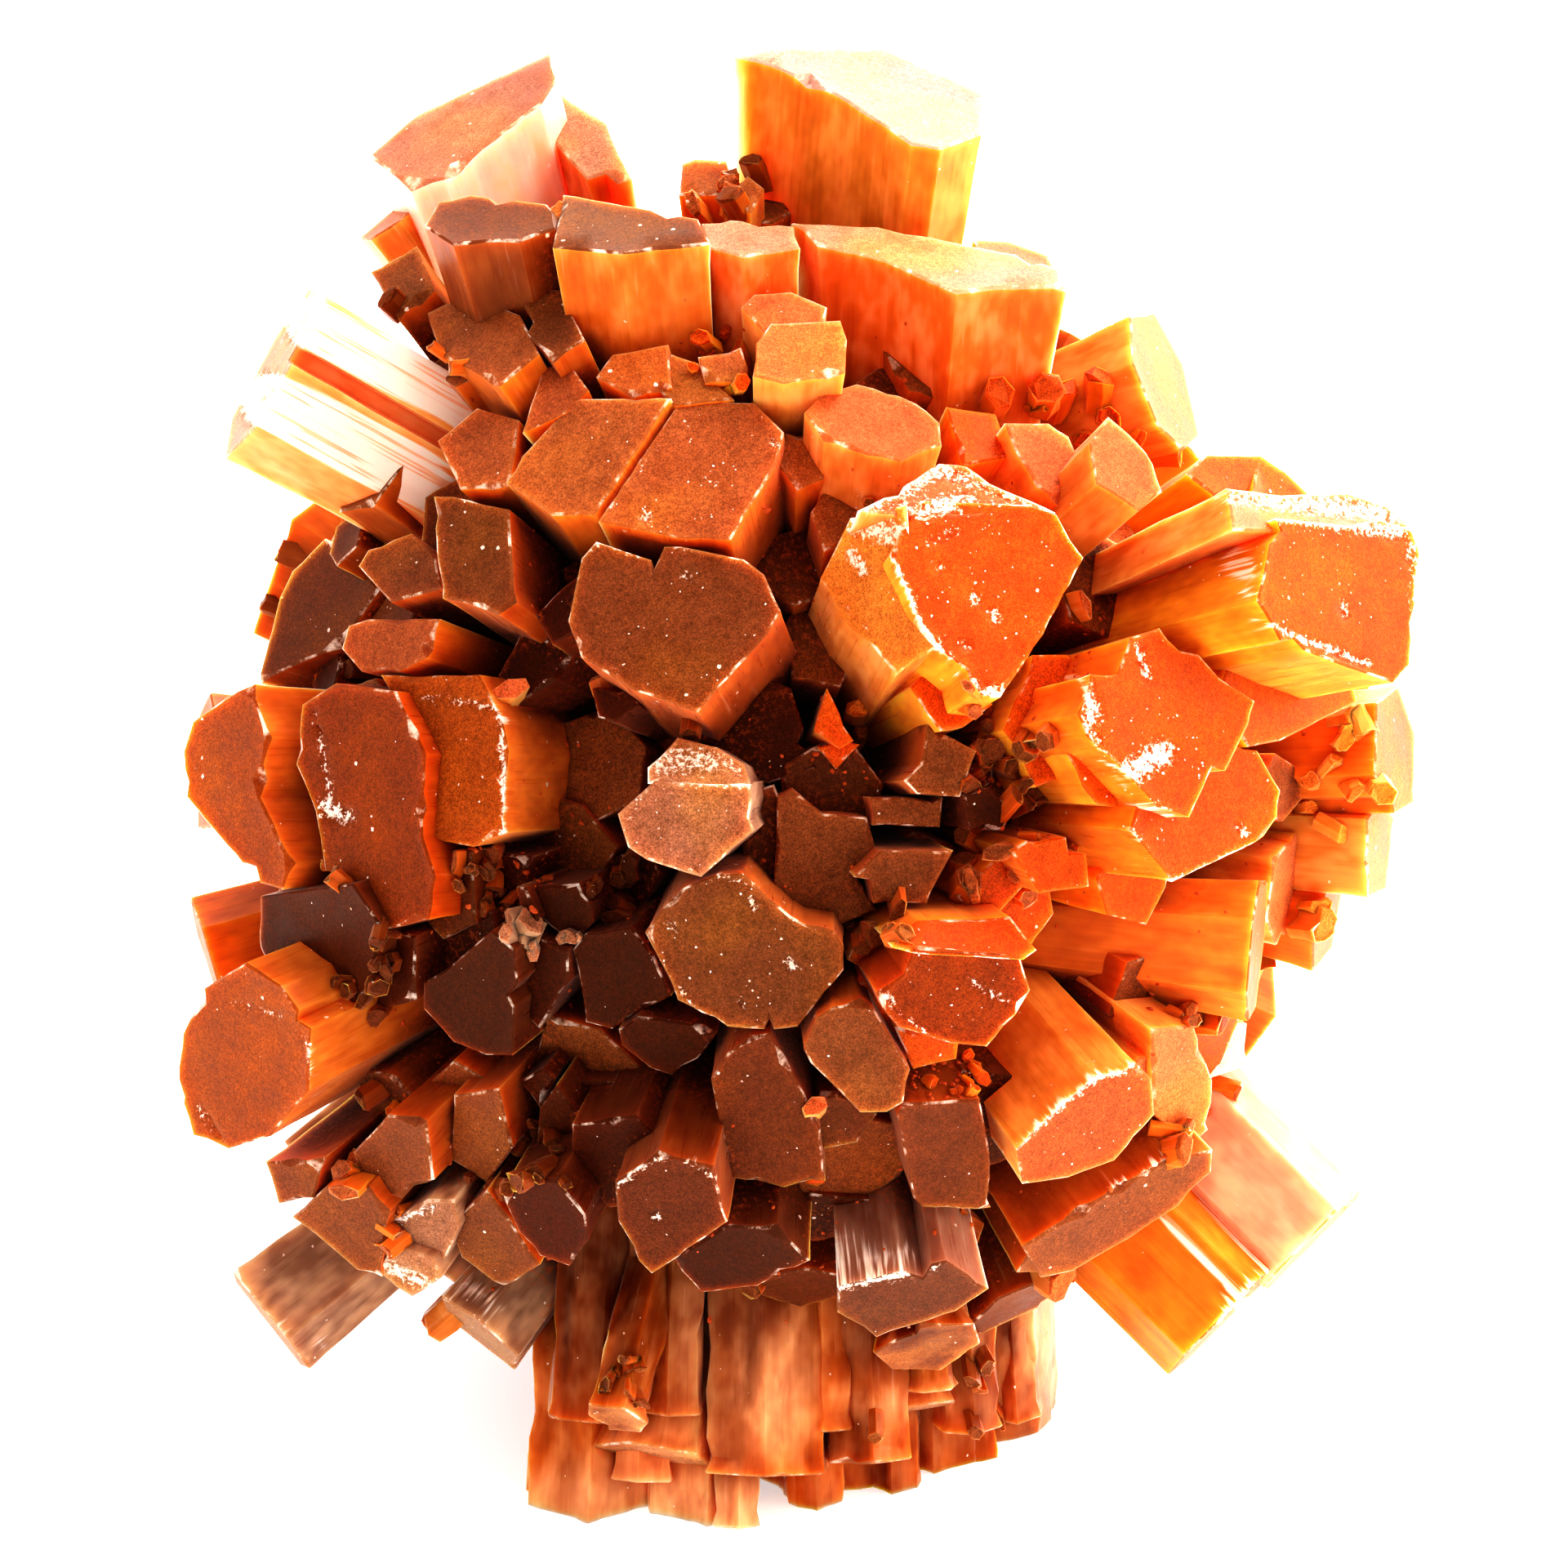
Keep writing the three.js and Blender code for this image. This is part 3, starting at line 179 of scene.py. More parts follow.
# tone, how far the middle of the end stands toward the front, corners of the end face (across, up, and
# so on), the root where it isn't the core, the fall of the end face [across, up] where it isn't square
FACING = (
    # Broad brown ends left of the middle (from number 0)
    (BROWN, 17.4, (-6.1, 6.8, -5.65, 7.3, -4, 6.75, -3.95, 6.4, -3.6, 7.15, -3.1, 7.15, -1.2, 6.75,
      -0.6, 6.3, -0.1, 5.2, -0.5, 4.5, -2.6, 2.15, -4.5, 2.8, -6.1, 3.8, -6.5, 4.9)),
    (RUSSET, 14.8, (-8.4, 9.1, -7.9, 9.9, -6.3, 11.65, -3.4, 11.65, -5.1, 9, -5.7, 8.1, -7, 8.1)),
    (RUSSET, 15.8, (-3.15, 11.55, -0.9, 11.5, 0, 10.6, -0.25, 9.6, -1.6, 7.35, -3.2, 7.4, -5.6, 7.9,
      -4.4, 9.7)),
    (BROWN, 14.2, (-10.6, 8.7, -10, 8.7, -8.3, 8.3, -8.1, 5.5, -8.6, 5.1, -10.3, 5.6, -10.5, 7)),
    (DARK, 15, (-7.5, 5.1, -6.7, 5.9, -6.2, 6.3, -6.2, 4.6, -7, 4.2)),
    (DARK, 15.8, (-5.8, 2.9, -5.6, 2, -5.1, 1.85, -4.4, 2.35, -4.6, 3)),
    (DARK, 15, (-2.8, 1.6, -0.9, 3.3, 0.2, 2.9, 1, 0.5, -0.5, 0, -1.5, 0.4)),
    (BROWN, 11.8, (-12.9, 6.6, -12.6, 7.1, -11.3, 7.6, -10.6, 7.1, -10.3, 5.9, -11.9, 5.5)),
    (RUSSET, 12.2, (-13.4, 4.1, -13.2, 4.8, -12.6, 5, -10.4, 5, -10.8, 3.8, -11.6, 3.4, -12.8, 3.4)),
    (RUSSET, 12.4, (-10.5, 10.4, -9.3, 11.4, -8, 11, -8.3, 9, -9.8, 8.9)),
    (RUSSET, 13, (-7.9, 10.6, -7.3, 12.7, -6.6, 12.9, -5.9, 11.9, -6.6, 11.2)),
    # Orange blocks and hexagons of the upper middle (from number 11)
    (SALMON, 14.8, (-0.95, 12.3, -0.85, 13.3, -0.4, 13.9, 1.7, 14, 1.9, 13.4, 1.85, 12.4, 0, 12.05),
      (0, 4, 5)),
    (SALMON, 13.4, (-1.3, 14.4, -0.9, 14.8, 0.2, 14.9, 1.3, 14.4, 1.3, 13.7, -0.6, 13.6), (0, 4, 4)),
    (SALMON, 15.4, (0.6, 11.2, 1.3, 11.9, 2.2, 12.1, 4, 11.6, 4.7, 10.9, 4.75, 10.2, 3.5, 9.7, 2.5, 9.9,
      1.2, 10.4), (1.5, 2, 8)),
    (RUSSET, 15, (0.05, 10.6, 1.3, 10.6, 1.2, 9.2, 0.4, 8.9, -0.2, 9.6)),
    (RUSSET, 15.2, (0.8, 8.2, 1.2, 8.8, 2.7, 8.5, 2.2, 7.4, 1.2, 7)),
    (RUSSET, 14.2, (-2.6, 12.9, -1.3, 13.2, -1.1, 12.6, -1.3, 12.1, -2.4, 12.2)),
    (RUSSET, 13.4, (-5.7, 12.3, -5.2, 13, -4.5, 13.1, -3.5, 13.3, -3.4, 12, -4.6, 11.7)),
    (RUSSET, 14, (-4.1, 12.2, -3.4, 13, -2.6, 12.7, -1.5, 11.6, -3.3, 11.4)),
    (SALMON, 14, (6.65, 10.9, 8, 10.9, 8.6, 10.5, 9.4, 8.5, 8.9, 8.1, 7.6, 9, 7, 10), (3, 4, 4)),
    (ORANGE, 13.6, (4.9, 11.4, 6.4, 11.2, 6.9, 9.9, 5.4, 9.6)),
    # The big orange crystal right of the middle: end, broken rim, left shoulder, foot (from number 21)
    (GLOW, 18.6, (3.2, 6.9, 3.9, 5.2, 4.7, 4, 5.5, 3.4, 5.7, 2.7, 6.5, 2.6, 7.8, 4.5, 8.6, 6, 9, 6.8,
      8.2, 8.1, 7.4, 8.4, 4.1, 8.5)),
    (SALMON, 17.7, (2.2, 8.2, 3, 8.6, 4, 9.2, 4.7, 9.7, 5.5, 9.55, 6.5, 8.9, 8.2, 8.2, 4.2, 7.9), CORE,
      (-0.3, -0.85)),
    (AMBER, 18.2, (1.1, 6.2, 2, 8, 3.7, 8.4, 3.9, 5.8, 4.7, 4.2, 3.4, 3.3, 1.8, 4.9), CORE,
      (0.75, 0.05)),
    (GLOW, 17, (3.8, 2.9, 4.3, 2.1, 4.7, 1.6, 5.4, 1.7, 6.3, 2.4, 5.7, 2.9, 4.2, 3.3)),
    # The large crystal on the right: end, white upper rim, underside, block behind (from number 25)
    (GLOW, 14.7, (14.8, 8, 17, 7.8, 18, 8, 19, 7.7, 19.25, 7, 18.9, 3.6, 18.4, 3.05, 17, 3.5, 14.9, 4.3,
      14.2, 5.5), (2, 2, 2)),
    (SALMON, 14.3, (13.3, 8.9, 15, 8.7, 17, 8.8, 18.3, 8.4, 19, 7.8, 17.9, 7.7, 14.9, 7.6, 13.5, 7.6),
      (2, 2, 2), (-1.2, -1.1)),
    (GLOW, 12.6, (13.8, 4.6, 17, 3.8, 17.4, 2.5, 15, 1.3, 14, 1.1, 13, 2.6), (2, 1, 2)),
    (GLOW, 8, (12.2, 9.4, 12.8, 10, 14.5, 10, 15.3, 9.5, 16, 8.8, 14, 8)),
    # The notched twin below it (from number 29)
    (ORANGE, 17.2, (9.1, 1.4, 8.8, 2.1, 9.1, 2.7, 9.2, 3.3, 10, 3.3, 10.4, 4.4, 11.3, 4.7, 11.9, 4,
      12.5, 3.9, 13.1, 3.2, 14.2, 2.5, 14, 1.8, 13.3, 0.4, 12.9, 0.5, 12.2, -1, 11.2, -0.7, 10.2, 0.4)),
    (GLOW, 16.6, (8.5, 0.9, 9, -0.1, 9.4, -0.6, 10, -0.7, 10.3, 0.5, 9.5, 1.2)),
    (GLOW, 15.4, (6.6, 1.6, 7.5, 3.9, 8.8, 3.9, 9.6, 2.8, 9, 0.4, 7.6, -0.1)),
    (ORANGE, 14.8, (10.4, -1.4, 11.7, -2.95, 12.9, -2.4, 14.6, -1.6, 14.9, -1, 15, -0.2, 14.3, 1,
      12.5, 1.5, 10.8, 0)),
    # Small crystals of the middle (from number 33)
    (SMOKY, 18.2, (-5, -0.9, -3.9, 0.1, -2.2, 0, -1, 0, -0.9, -1.4, -2.5, -2.8, -4.1, -2.3,
      -4.7, -1.9)),
    (SMOKY, 17.8, (-4.1, 0, -4.1, 0.5, -3.2, 1.4, -2, 1.1, -1.2, 0.6, -1, 0, -2.2, -0.1), CORE,
      (0, -0.75)),
    (BROWN, 16, (-0.2, -0.4, 0.3, -0.2, 1.2, -0.9, 2.5, -1, 2.8, -2, 2.2, -2.8, 2.8, -3.8, 1.6, -4.3,
      -0.3, -3.8, -0.3, -2.8)),
    (BROWN, 15.6, (-1.3, -0.3, -0.3, 0, -0.1, -0.5, -0.3, -3.2, -1.3, -2.8)),
    (BROWN, 16.6, (2.1, -2.8, 2.9, -2, 4, -2, 5.1, -2, 4.4, -3.3, 4.3, -3.6, 2.7, -3.6)),
    (BROWN, 16, (2.6, -0.4, 2.7, -1.25, 4.7, -1.3, 4.8, -0.4)),
    (BROWN, 16.6, (3.6, 0.1, 4.1, 0.6, 4.3, 1.8, 5.8, 1, 5.3, -0.4, 4, -0.3)),
    (DARK, 16, (5.4, -0.3, 5.6, -1.4, 6.6, -1.4, 6.9, -0.8, 6.2, -0.1)),
    (ORANGE, 16.2, (6.8, -2, 7.3, -1.7, 8.5, -1.6, 9.1, -2.1, 9.2, -3.1, 7.7, -3.3, 7.2, -2.6)),
    (ORANGE, 15.2, (5.2, -3.4, 6.3, -2.3, 7, -2.1, 7.4, -2.9, 6.4, -4, 5.8, -4)),
    (ORANGE, 16, (0.9, 1.6, 1, 2, 1.3, 2.9, 2.1, 1.3, 1.7, 1.05)),
    (ORANGE, 15.6, (1, 1.1, 1.7, 1.3, 2.3, 1.2, 1.6, 0.45)),
    (ORANGE, 15.8, (1.9, -5.3, 2.2, -4.6, 2.9, -4.2, 3.8, -4.1, 3.9, -5, 2.6, -5.7)),
    # The rough twin-lobed end below the middle, the bevelled end beside it (from number 46)
    (BROWN, 17.4, (-4.2, -4.5, -3.7, -3.8, -3, -3.1, -2, -2.7, -1.2, -2.7, -0.5, -3.4, 0.6, -4.2,
      1.5, -4.4, 1.8, -4.9, 1.8, -5.6, 0.4, -7.3, -0.3, -7.4, -0.45, -7.1, -0.6, -7.4, -1.7, -7.3,
      -3.2, -6.5, -3.9, -5)),
    (EMBER, 17.8, (3.6, -5.7, 3.9, -4.9, 6.5, -5.1, 7.1, -5.2, 7.4, -6.2, 7.2, -6.7, 6.1, -7.9, 5, -7.8,
      3.4, -7.3, 3, -6.8, 2.8, -6.3)),
    (ORANGE, 17.8, (3.2, -4.9, 4, -4.1, 6.8, -4, 7.6, -5, 7.2, -5.3, 3.9, -5.1), CORE, (-0.35, -0.9)),
    (BROWN, 16.6, (0.6, -8, 1, -7, 1.5, -6.7, 2.3, -6.5, 2.7, -6.7, 3.8, -8.6, 3.6, -9.6, 3.1, -9.9,
      2.3, -9.9, 0.8, -8.4)),
    (ORANGE, 15.4, (3.3, -7.3, 5.3, -7.5, 5.2, -8.3, 3.9, -8.6)),
    (UMBER, 15, (-2.2, -8.9, -1.7, -8.1, -1, -7.6, -0.4, -7.5, 0.6, -9.3, 1.1, -10.4, 1.25, -12,
      0, -12.2, -1.6, -11.9, -2, -10)),
    (UMBER, 14, (3.4, -10, 3.6, -9.6, 5.9, -9.5, 6.2, -11, 6.3, -12.9, 4.2, -12.8, 3.9, -12.5,
      3.6, -11)),
    # The orange block of the lower right and the pale ledges under it (from number 53)
    (COPPER, 13.8, (7, -11, 8.2, -9.8, 9.4, -8.8, 10.7, -8.5, 11.1, -8.9, 11.2, -10, 10, -11.4,
      8.6, -11.9, 7.2, -12.1), (2, -1.5, 3)),
    (BROWN, 9.4, (7.2, -14, 9.3, -12.7, 11.7, -11.3, 13, -11.1, 13, -11.8, 12, -12.8, 10.5, -13.8,
      8.8, -14.8, 7.8, -15), (3, -3, 2)),
    (SALMON, 10, (11.1, -7.4, 12.4, -7.3, 13, -9, 13, -10.6, 12.2, -11, 11.2, -10)),
    (PALE, 7, (12.8, -7.2, 14.1, -7.3, 14.1, -8.6, 12.9, -9)),
    # Block of the lower middle with a painted sheen on its top face (from number 57)
    (SHEEN, 11.4, (1.6, -15.2, 4.9, -14.4, 6.2, -15.3, 5.2, -16, 2.8, -16.8, 1.6, -16), (2.5, -6, 6.5)),
    # Group of dark red blocks on the left (from number 58)
    (RUST, 14.4, (-12.2, 3.3, -9.2, 3.3, -8.5, 2, -8.3, 1, -8.5, -1.5, -9.4, -1.9, -11, -1.6, -10.8, 1),
      (-1.5, 0.5, 1)),
    (EMBER, 12.8, (-14.6, 2.4, -13.6, 3.05, -11.7, 2.8, -10.8, 0.9, -10.9, -1.6, -10.5, -2.8,
      -10.7, -4.1, -12, -4.4, -12.8, -3.1, -13.9, -2.6, -14.2, -0.8, -14.8, 0.6)),
    (UMBER, 13.2, (-10.8, -2, -9.4, -2, -9.3, -4.2, -10.3, -4.7, -10.9, -4.1)),
    (DARK, 12.8, (-9.3, -2, -7.6, -2.2, -7.8, -3.6, -8.5, -4.3, -9.2, -4.3)),
    (RUST, 8.6, (-16.2, 3.05, -17, 2.6, -18, 1.9, -18.3, 1, -18.2, -0.4, -17, -1.8, -15.9, -3,
      -15.2, -3.2, -14.9, -2.4, -15.9, -0.4, -15.6, 1.4)),
    (UMBER, 5.6, (-14, 7.5, -15, 6.5, -15.4, 5.7, -15.9, 3.8, -16.1, 3.1, -13.5, 4.2, -12.3, 5.9,
      -13, 7)),
    # Dark ends of the lower left, some deep between the others (from number 64)
    (DARK, 13.6, (-10.9, -6, -10.2, -5.6, -8.8, -4.4, -8.1, -5, -8, -6, -8.2, -8.2, -9, -8.2, -10, -7.8,
      -10.9, -6.8)),
    (DARK, 13.8, (-8, -4.4, -6.5, -5, -6.5, -6, -6.9, -6.6, -7.4, -7.4, -7.8, -7, -7.9, -5.5)),
    (DARK, 14.4, (-7.6, -3.8, -7.5, -3.1, -6.2, -3, -5.8, -3.6, -5.8, -4.2, -6.4, -4.9)),
    (DARK, 14.4, (-8.1, -3.1, -7.8, -3.1, -7.4, -4, -7.5, -4.5, -7.8, -4.5)),
    (DARK, 14.4, (-6.4, -5, -6, -4.5, -4.6, -4.3, -3.9, -5.2, -3.4, -6.4, -4.6, -7, -5.2, -7.4,
      -6, -7.2, -6.1, -6.3)),
    (DARK, 14.4, (-5, -7.4, -4.4, -7, -2.8, -7.2, -2, -7.5, -2.6, -8.3, -3.4, -8.8, -4, -8.6,
      -4.9, -7.9)),
    (DARK, 12.4, (-8, -9, -7.3, -8.6, -6.9, -8.9, -7.4, -9.8)),
    (DARK, 12.2, (-6.6, -9, -4.2, -9, -4.6, -10.2, -5.6, -10.4)),
    (DARK, 12, (-7.4, -9.8, -6.9, -9.1, -5.8, -10.5, -5.2, -11.6, -6.9, -11.9, -7.5, -11.2)),
    (DARK, 13, (-5.8, -11.2, -5.5, -10.4, -4.9, -10.3, -4.8, -11, -5.2, -11.7)),
    (UMBER, 14.4, (-5.1, -12, -3.8, -11.1, -2.1, -11.5, -1.7, -13.2, -3.2, -14.3, -4, -14.8,
      -4.4, -14.4, -5, -13.2)),
    (DARK, 12.6, (-3.4, -14.4, -1.7, -13.3, -0.2, -13.4, 0.8, -14.4, -0.8, -15.2, -2.5, -15.4)),
    (DARK, 12.4, (-8.6, -12.4, -7.6, -12, -6.8, -11.9, -6, -13, -5.9, -13.8, -6.5, -14.6, -7.4, -14.3,
      -8, -13.6)),
    (DARK, 10.8, (-15.9, -3.4, -13, -3, -12.2, -4.2, -12.4, -6, -13.4, -7, -15.2, -6.1, -16, -5)),
    (DARK, 11.6, (-12.3, -4.3, -11.1, -4.6, -11.2, -6.6, -13, -7, -12.6, -6)),
    # The round orange crystal low on the left and its neighbours (from number 79)
    (RUST, 9, (-18.5, -9, -18.3, -7.6, -17.6, -6.2, -16.3, -5.4, -15.2, -6.1, -14.3, -7.4, -14.4, -9.3,
      -15.6, -10.7, -16.9, -11.1, -18, -10.7), (-2, -1.5, 2)),
    (BROWN, 7, (-15.8, -11.5, -15.4, -12.8, -14.3, -12.6, -14, -11.4)),
    (BROWN, 10, (-13.1, -11.2, -12, -10, -10.8, -10.2, -10.6, -12, -11.6, -12.6, -12.7, -12.2)),
    (BROWN, 11.4, (-10, -9.4, -8.6, -9.2, -8.2, -11, -9, -12.1, -10.1, -11.4)),
    (BROWN, 7.4, (-15, -13.2, -13.9, -12.2, -12.6, -12.2, -12, -13, -12.3, -15.1, -13, -14.8,
      -14.3, -13.7)),
    (SMOKY, 9, (-12, -13.3, -10.8, -12.6, -10, -12.6, -9.8, -13.4, -10.3, -14.5, -11, -14.8)),
    (SMOKY, 7.6, (-12.4, -14.8, -11.9, -14, -10.6, -14.4, -10.4, -15, -11.4, -15.7)),
    (BROWN, 9.4, (-10.2, -13.4, -9, -12.3, -8.3, -13.2, -7.4, -14.6, -8.6, -15.4, -9.8, -14.4)),
    # Steep ends along the top, seen almost edge on (from number 87)
    (PEACH, 12.2, (0.2, 17, 2.8, 16.9, 7, 16.05, 8.3, 15.6, 8.6, 15, 6.3, 14.95, 5.2, 14.8, 3, 15.8,
      1, 16.3), (4, 4.4, 8.2), (-0.15, -1.9)),
    (LEDGE, 12, (-7, 16.2, -6.7, 17.9, -4.5, 17.5, -2.6, 17.1, -2.2, 16.3, -4.9, 16), (-3.4, 5, 7.4),
      (0.2, -1.9)),
    (PEACH, 12, (-2.5, 17, -1.6, 17.1, 0.3, 16.9, 0.5, 16.2, -1.2, 15.9, -2.3, 16.2), (-0.8, 5, 7.6),
      (0, -1.8)),
    (UMBER, 10, (-10.9, 16.9, -10.5, 17.7, -9.5, 17.9, -7.2, 17.6, -6.6, 16.9, -8, 16.4, -10, 16.3),
      (-6, 5.4, 5.8), (0.3, -1.9)),
    (MILKY, 4, (-12.7, 19.2, -11.2, 20.5, -7.1, 22.4, -6.9, 21.5, -7.4, 20.7, -10.3, 18.4, -11.4, 18.2),
      (-4, 2, -2.4), (1, -2)),
    (PEACH, 4.4, (-7, 21.3, -6.2, 20.7, -5.4, 20.2, -5, 19.2, -4.6, 18.4, -6, 18.4, -7.2, 19.8),
      (-2, 2, -1)),
    (BLOOM, 8.4, (-1.6, 22.1, -0.35, 21.8, 1.9, 20.7, 3.85, 19.35, 4.75, 19.2, 6, 19.7, 6.1, 21.05,
      3, 22.45, -0.5, 22.4), (1, 4, 1), (-0.3, -1.7)),
    (RUSSET, 6.4, (-3.2, 17.9, -3.1, 18.9, -2.7, 19.05, -1.7, 19, -1.5, 17.9), (-1, 4, 2)),
    (RUSSET, 8, (-1.9, 18, -1.1, 18.5, -0.6, 18.1, -1, 17.3), (-0.6, 4, 3)),
    (RUSSET, 10.8, (-10.9, 14.4, -9.4, 14.8, -8, 14.2, -7.4, 13, -8.6, 12, -10.4, 13)),
    (BROWN, 11.8, (-8, 14.9, -6.8, 15, -6, 13.4, -7, 12.8, -7.8, 13.6)),
    (BROWN, 7, (-12.6, 15.6, -11.2, 16.4, -10.6, 15, -11.8, 14.2)),
)

# Crystals that lie across the view: tone, tip, root, corners of the section and the taper, where it isn't
# the usual one
LYING = (
    (ROSE, (-15.6, 12.3, 9), (-5, 6.4, 6.6), (2.8, 0, 1.5, 1.9, -0.7, 2.1, -0.8, 1.4, -1.2, 1.4,
      -1.3, 2.1, -3, 1.7, -3, -1.6, -1.2, -2.6, 1.6, -2.4), 0.85),
    (RUST, (14.3, -5, 10), (3, -3.9, 8.8), (-2.2, 0.2, -1.4, 1.7, 0.9, 2, 2.1, 0.8, 2.1, -1.6,
      0.4, -2.4, -1.8, -1.7)),
    (RUSSET, (18.6, 0.9, 6.2), (4, 0.2, 1), (-1.8, 0.4, -0.6, 2.1, 1.6, 1.6, 2.1, -0.6, 0.6, -2,
      -1.5, -1.6)),
    (SALMON, (18.1, -2, 5), (4, -1, 1), (-1.5, 0.8, 0.9, 1.6, 1.6, 0.2, 1, -1.7, -1.2, -1.3)),
    (RUSSET, (16.6, -4.2, 3.6), (4, -1, 1), (-1.6, 0.4, -0.5, 1.9, 1.5, 1.5, 1.7, -0.8, -0.8, -1.8)),
    (SALMON, (11.5, 12.2, 9.4), (2.4, 9, 6.2), (-2.2, 0.4, -1.2, 2, 0.8, 2.3, 2.2, 1, 2.1, -1.5,
      0.3, -2.5, -1.9, -1.6)),
    (BLUSH, (16.1, -13.9, 4.4), (6.1, -3.9, 3.4), (-2.1, 0.8, -1.3, 1.6, 1.2, 2.2, 2.2, 0.7, 1.9, -2.1,
      -2.1, -2.4), 1),
    (ORANGE, (13.4, -16.3, 4.6), (3.2, -6.2, 3.8), (-2.4, -0.2, -1.6, 1.9, 1.3, 2.2, 2.2, 1, 2.2, -2.2,
      -1.7, -2.6), 1),
    (SMOKY, (-15.7, -16.4, 2.4), (-4.6, -7.6, 1.4), (-1.9, 0.9, 0.8, 2.2, 1.9, 0.6, 1.7, -2,
      -1.6, -1.7)),
    (SMOKY, (-9.3, -16.7, 4.6), (-2, -8, 2.6), (-1.6, 0.6, -0.3, 1.8, 1.4, 1.3, 1.6, -1.3, -0.9, -1.8)),
    (RUSSET, (-17.7, -5.1, 1), (-4, -1, 0), (-1.7, 0, -0.7, 1.9, 1.3, 1.5, 1.6, -0.9, -0.6, -1.9)),
    (RUSSET, (17.4, 4.8, 1.4), (4, 1, 0), (-2, 0.3, -0.8, 2.1, 1.5, 1.6, 2.2, -0.7, 0.4, -2.2,
      -1.7, -1.5)),
    (RUSSET, (-14.8, 5, -2.6), (-3, 1, -1), (-1.9, 0.2, -0.8, 2.2, 1.6, 1.5, 1.9, -1.2, -0.4, -2.3)),
    (RUSSET, (-12.3, 7.2, 1.2), (-2, 1, 0), (-2, 0.4, -0.9, 2, 1.2, 1.8, 2, -0.4, 0.8, -2.1,
      -1.3, -1.8)),
    (RUSSET, (10.9, 9.3, 1.6), (2, 2, 0), (-1.9, 0.2, -0.8, 2, 1.4, 1.5, 1.9, -0.9, 0.2, -2.2,
      -1.5, -1.5)),
    (RUSSET, (-17.6, 0.6, 2.6), (-4, 0.4, 0), (-2.2, 0.2, -0.9, 2.2, 1.9, 1.5, 2, -1.6, -1.4, -2)),
)

# Columns of the foot: middle across, width, depth, lower end, toward the front below and above, turn
FOOT_COLUMNS = (
    (-5.9, 4, 4.2, -24.5, 1.5, 3, 4),
    (-5.7, 3.1, 2.6, -19.3, 4.8, 6.2, -4),
    (-2.6, 3.7, 4, -24.5, 1.9, 3.4, -6),
    (-3.4, 1.9, 2.4, -19.1, 5, 6.4, 8),
    (-0.5, 3.7, 3.4, -20.9, 4.6, 6, 3),
    (2.5, 2.6, 3, -20.5, 4, 6, -10),
    (1.1, 4.4, 4.6, -24, -0.6, 3, 12),
    (4.5, 4.2, 4.6, -23, -2.4, 4, -4),
    (6.9, 3.2, 4.6, -22, -4.8, 4, 16),
)
# Thinner columns that close the gaps between them
FOOT_SLIVERS = (
    (-6.9, 1.8, 2.6, -21.6, 1.6, 3, 14), (-4.3, 1.9, 2.2, -21.2, 3.4, 4.6, 8),
    (-1.5, 1.6, 2, -22.6, 3.6, 4.8, -8), (-4.6, 1.4, 1.6, -18.2, 5.4, 6.4, 20),
    (1.4, 1.7, 2, -19.6, 4.8, 6.2, 12), (0.9, 2, 2.2, -22.4, 2, 3.8, -6),
    (3.4, 1.8, 2, -21.8, 1, 4.4, 6), (5.6, 2, 2.2, -19.6, 1.6, 5, -12),
    (4.4, 1.8, 1.8, -18.4, 4.2, 6, 10), (7.2, 1.6, 2.2, -19.2, -1.6, 3.4, 4),
)
FOOT_TOP = -8
# Painted glow: paler places of the foot seen from the front: middle, half width and height, strength
FOOT_GLOWS = (
    ((-0.5, -18.2), (1.3, 2), 0.65), ((-4.6, -22), (3.2, 1.1), 0.8), ((-1.6, -22.4), (1.4, 1.1), 1),
    ((-2.6, -17.4), (0.7, 1.8), 0.5), ((7.8, -16.6), (0.8, 2.4), 0.45), ((4.6, -18.8), (3.4, 0.5), 0.3),
    ((-3, -20), (2, 1), 0.35),
)

# Crystals under and behind the core that reach the floor: tip, width, depth, turn
FEET = (
    ((0.4, -18.3, -8.6), 6.4, 5.6, 20),
    ((-5.4, -14.8, -15.6), 5.6, 6.2, 65),
    ((5.2, -14.4, -16), 6, 5.2, 130),
)

# Short crystals down in the gaps between the long ones: across, up, toward the front, width
GAP_CRYSTALS = (
    (-5.6, 0.6, 12.4, 3.4), (-6.6, -1.6, 12.2, 3.2), (1.2, 4.6, 13.8, 3.2), (0.4, 6.6, 13.8, 2.8),
    (7.2, 0.8, 13.8, 3.4), (-9.4, -10, 10.4, 3.6), (2.2, -11.4, 12, 3.6), (-6, -8.4, 12, 3.2),
    (9.6, 6, 13.2, 3.6), (-12.4, 9.8, 8.6, 3.6), (-12.6, 1.6, 9.8, 3.4), (8.8, -14, 7, 3.6),
    (-9, 13.4, 9.4, 3.6), (11.2, -6.4, 10.2, 3.4), (0.4, 14.6, 10, 4), (4.6, 13, 11, 3.6),
)
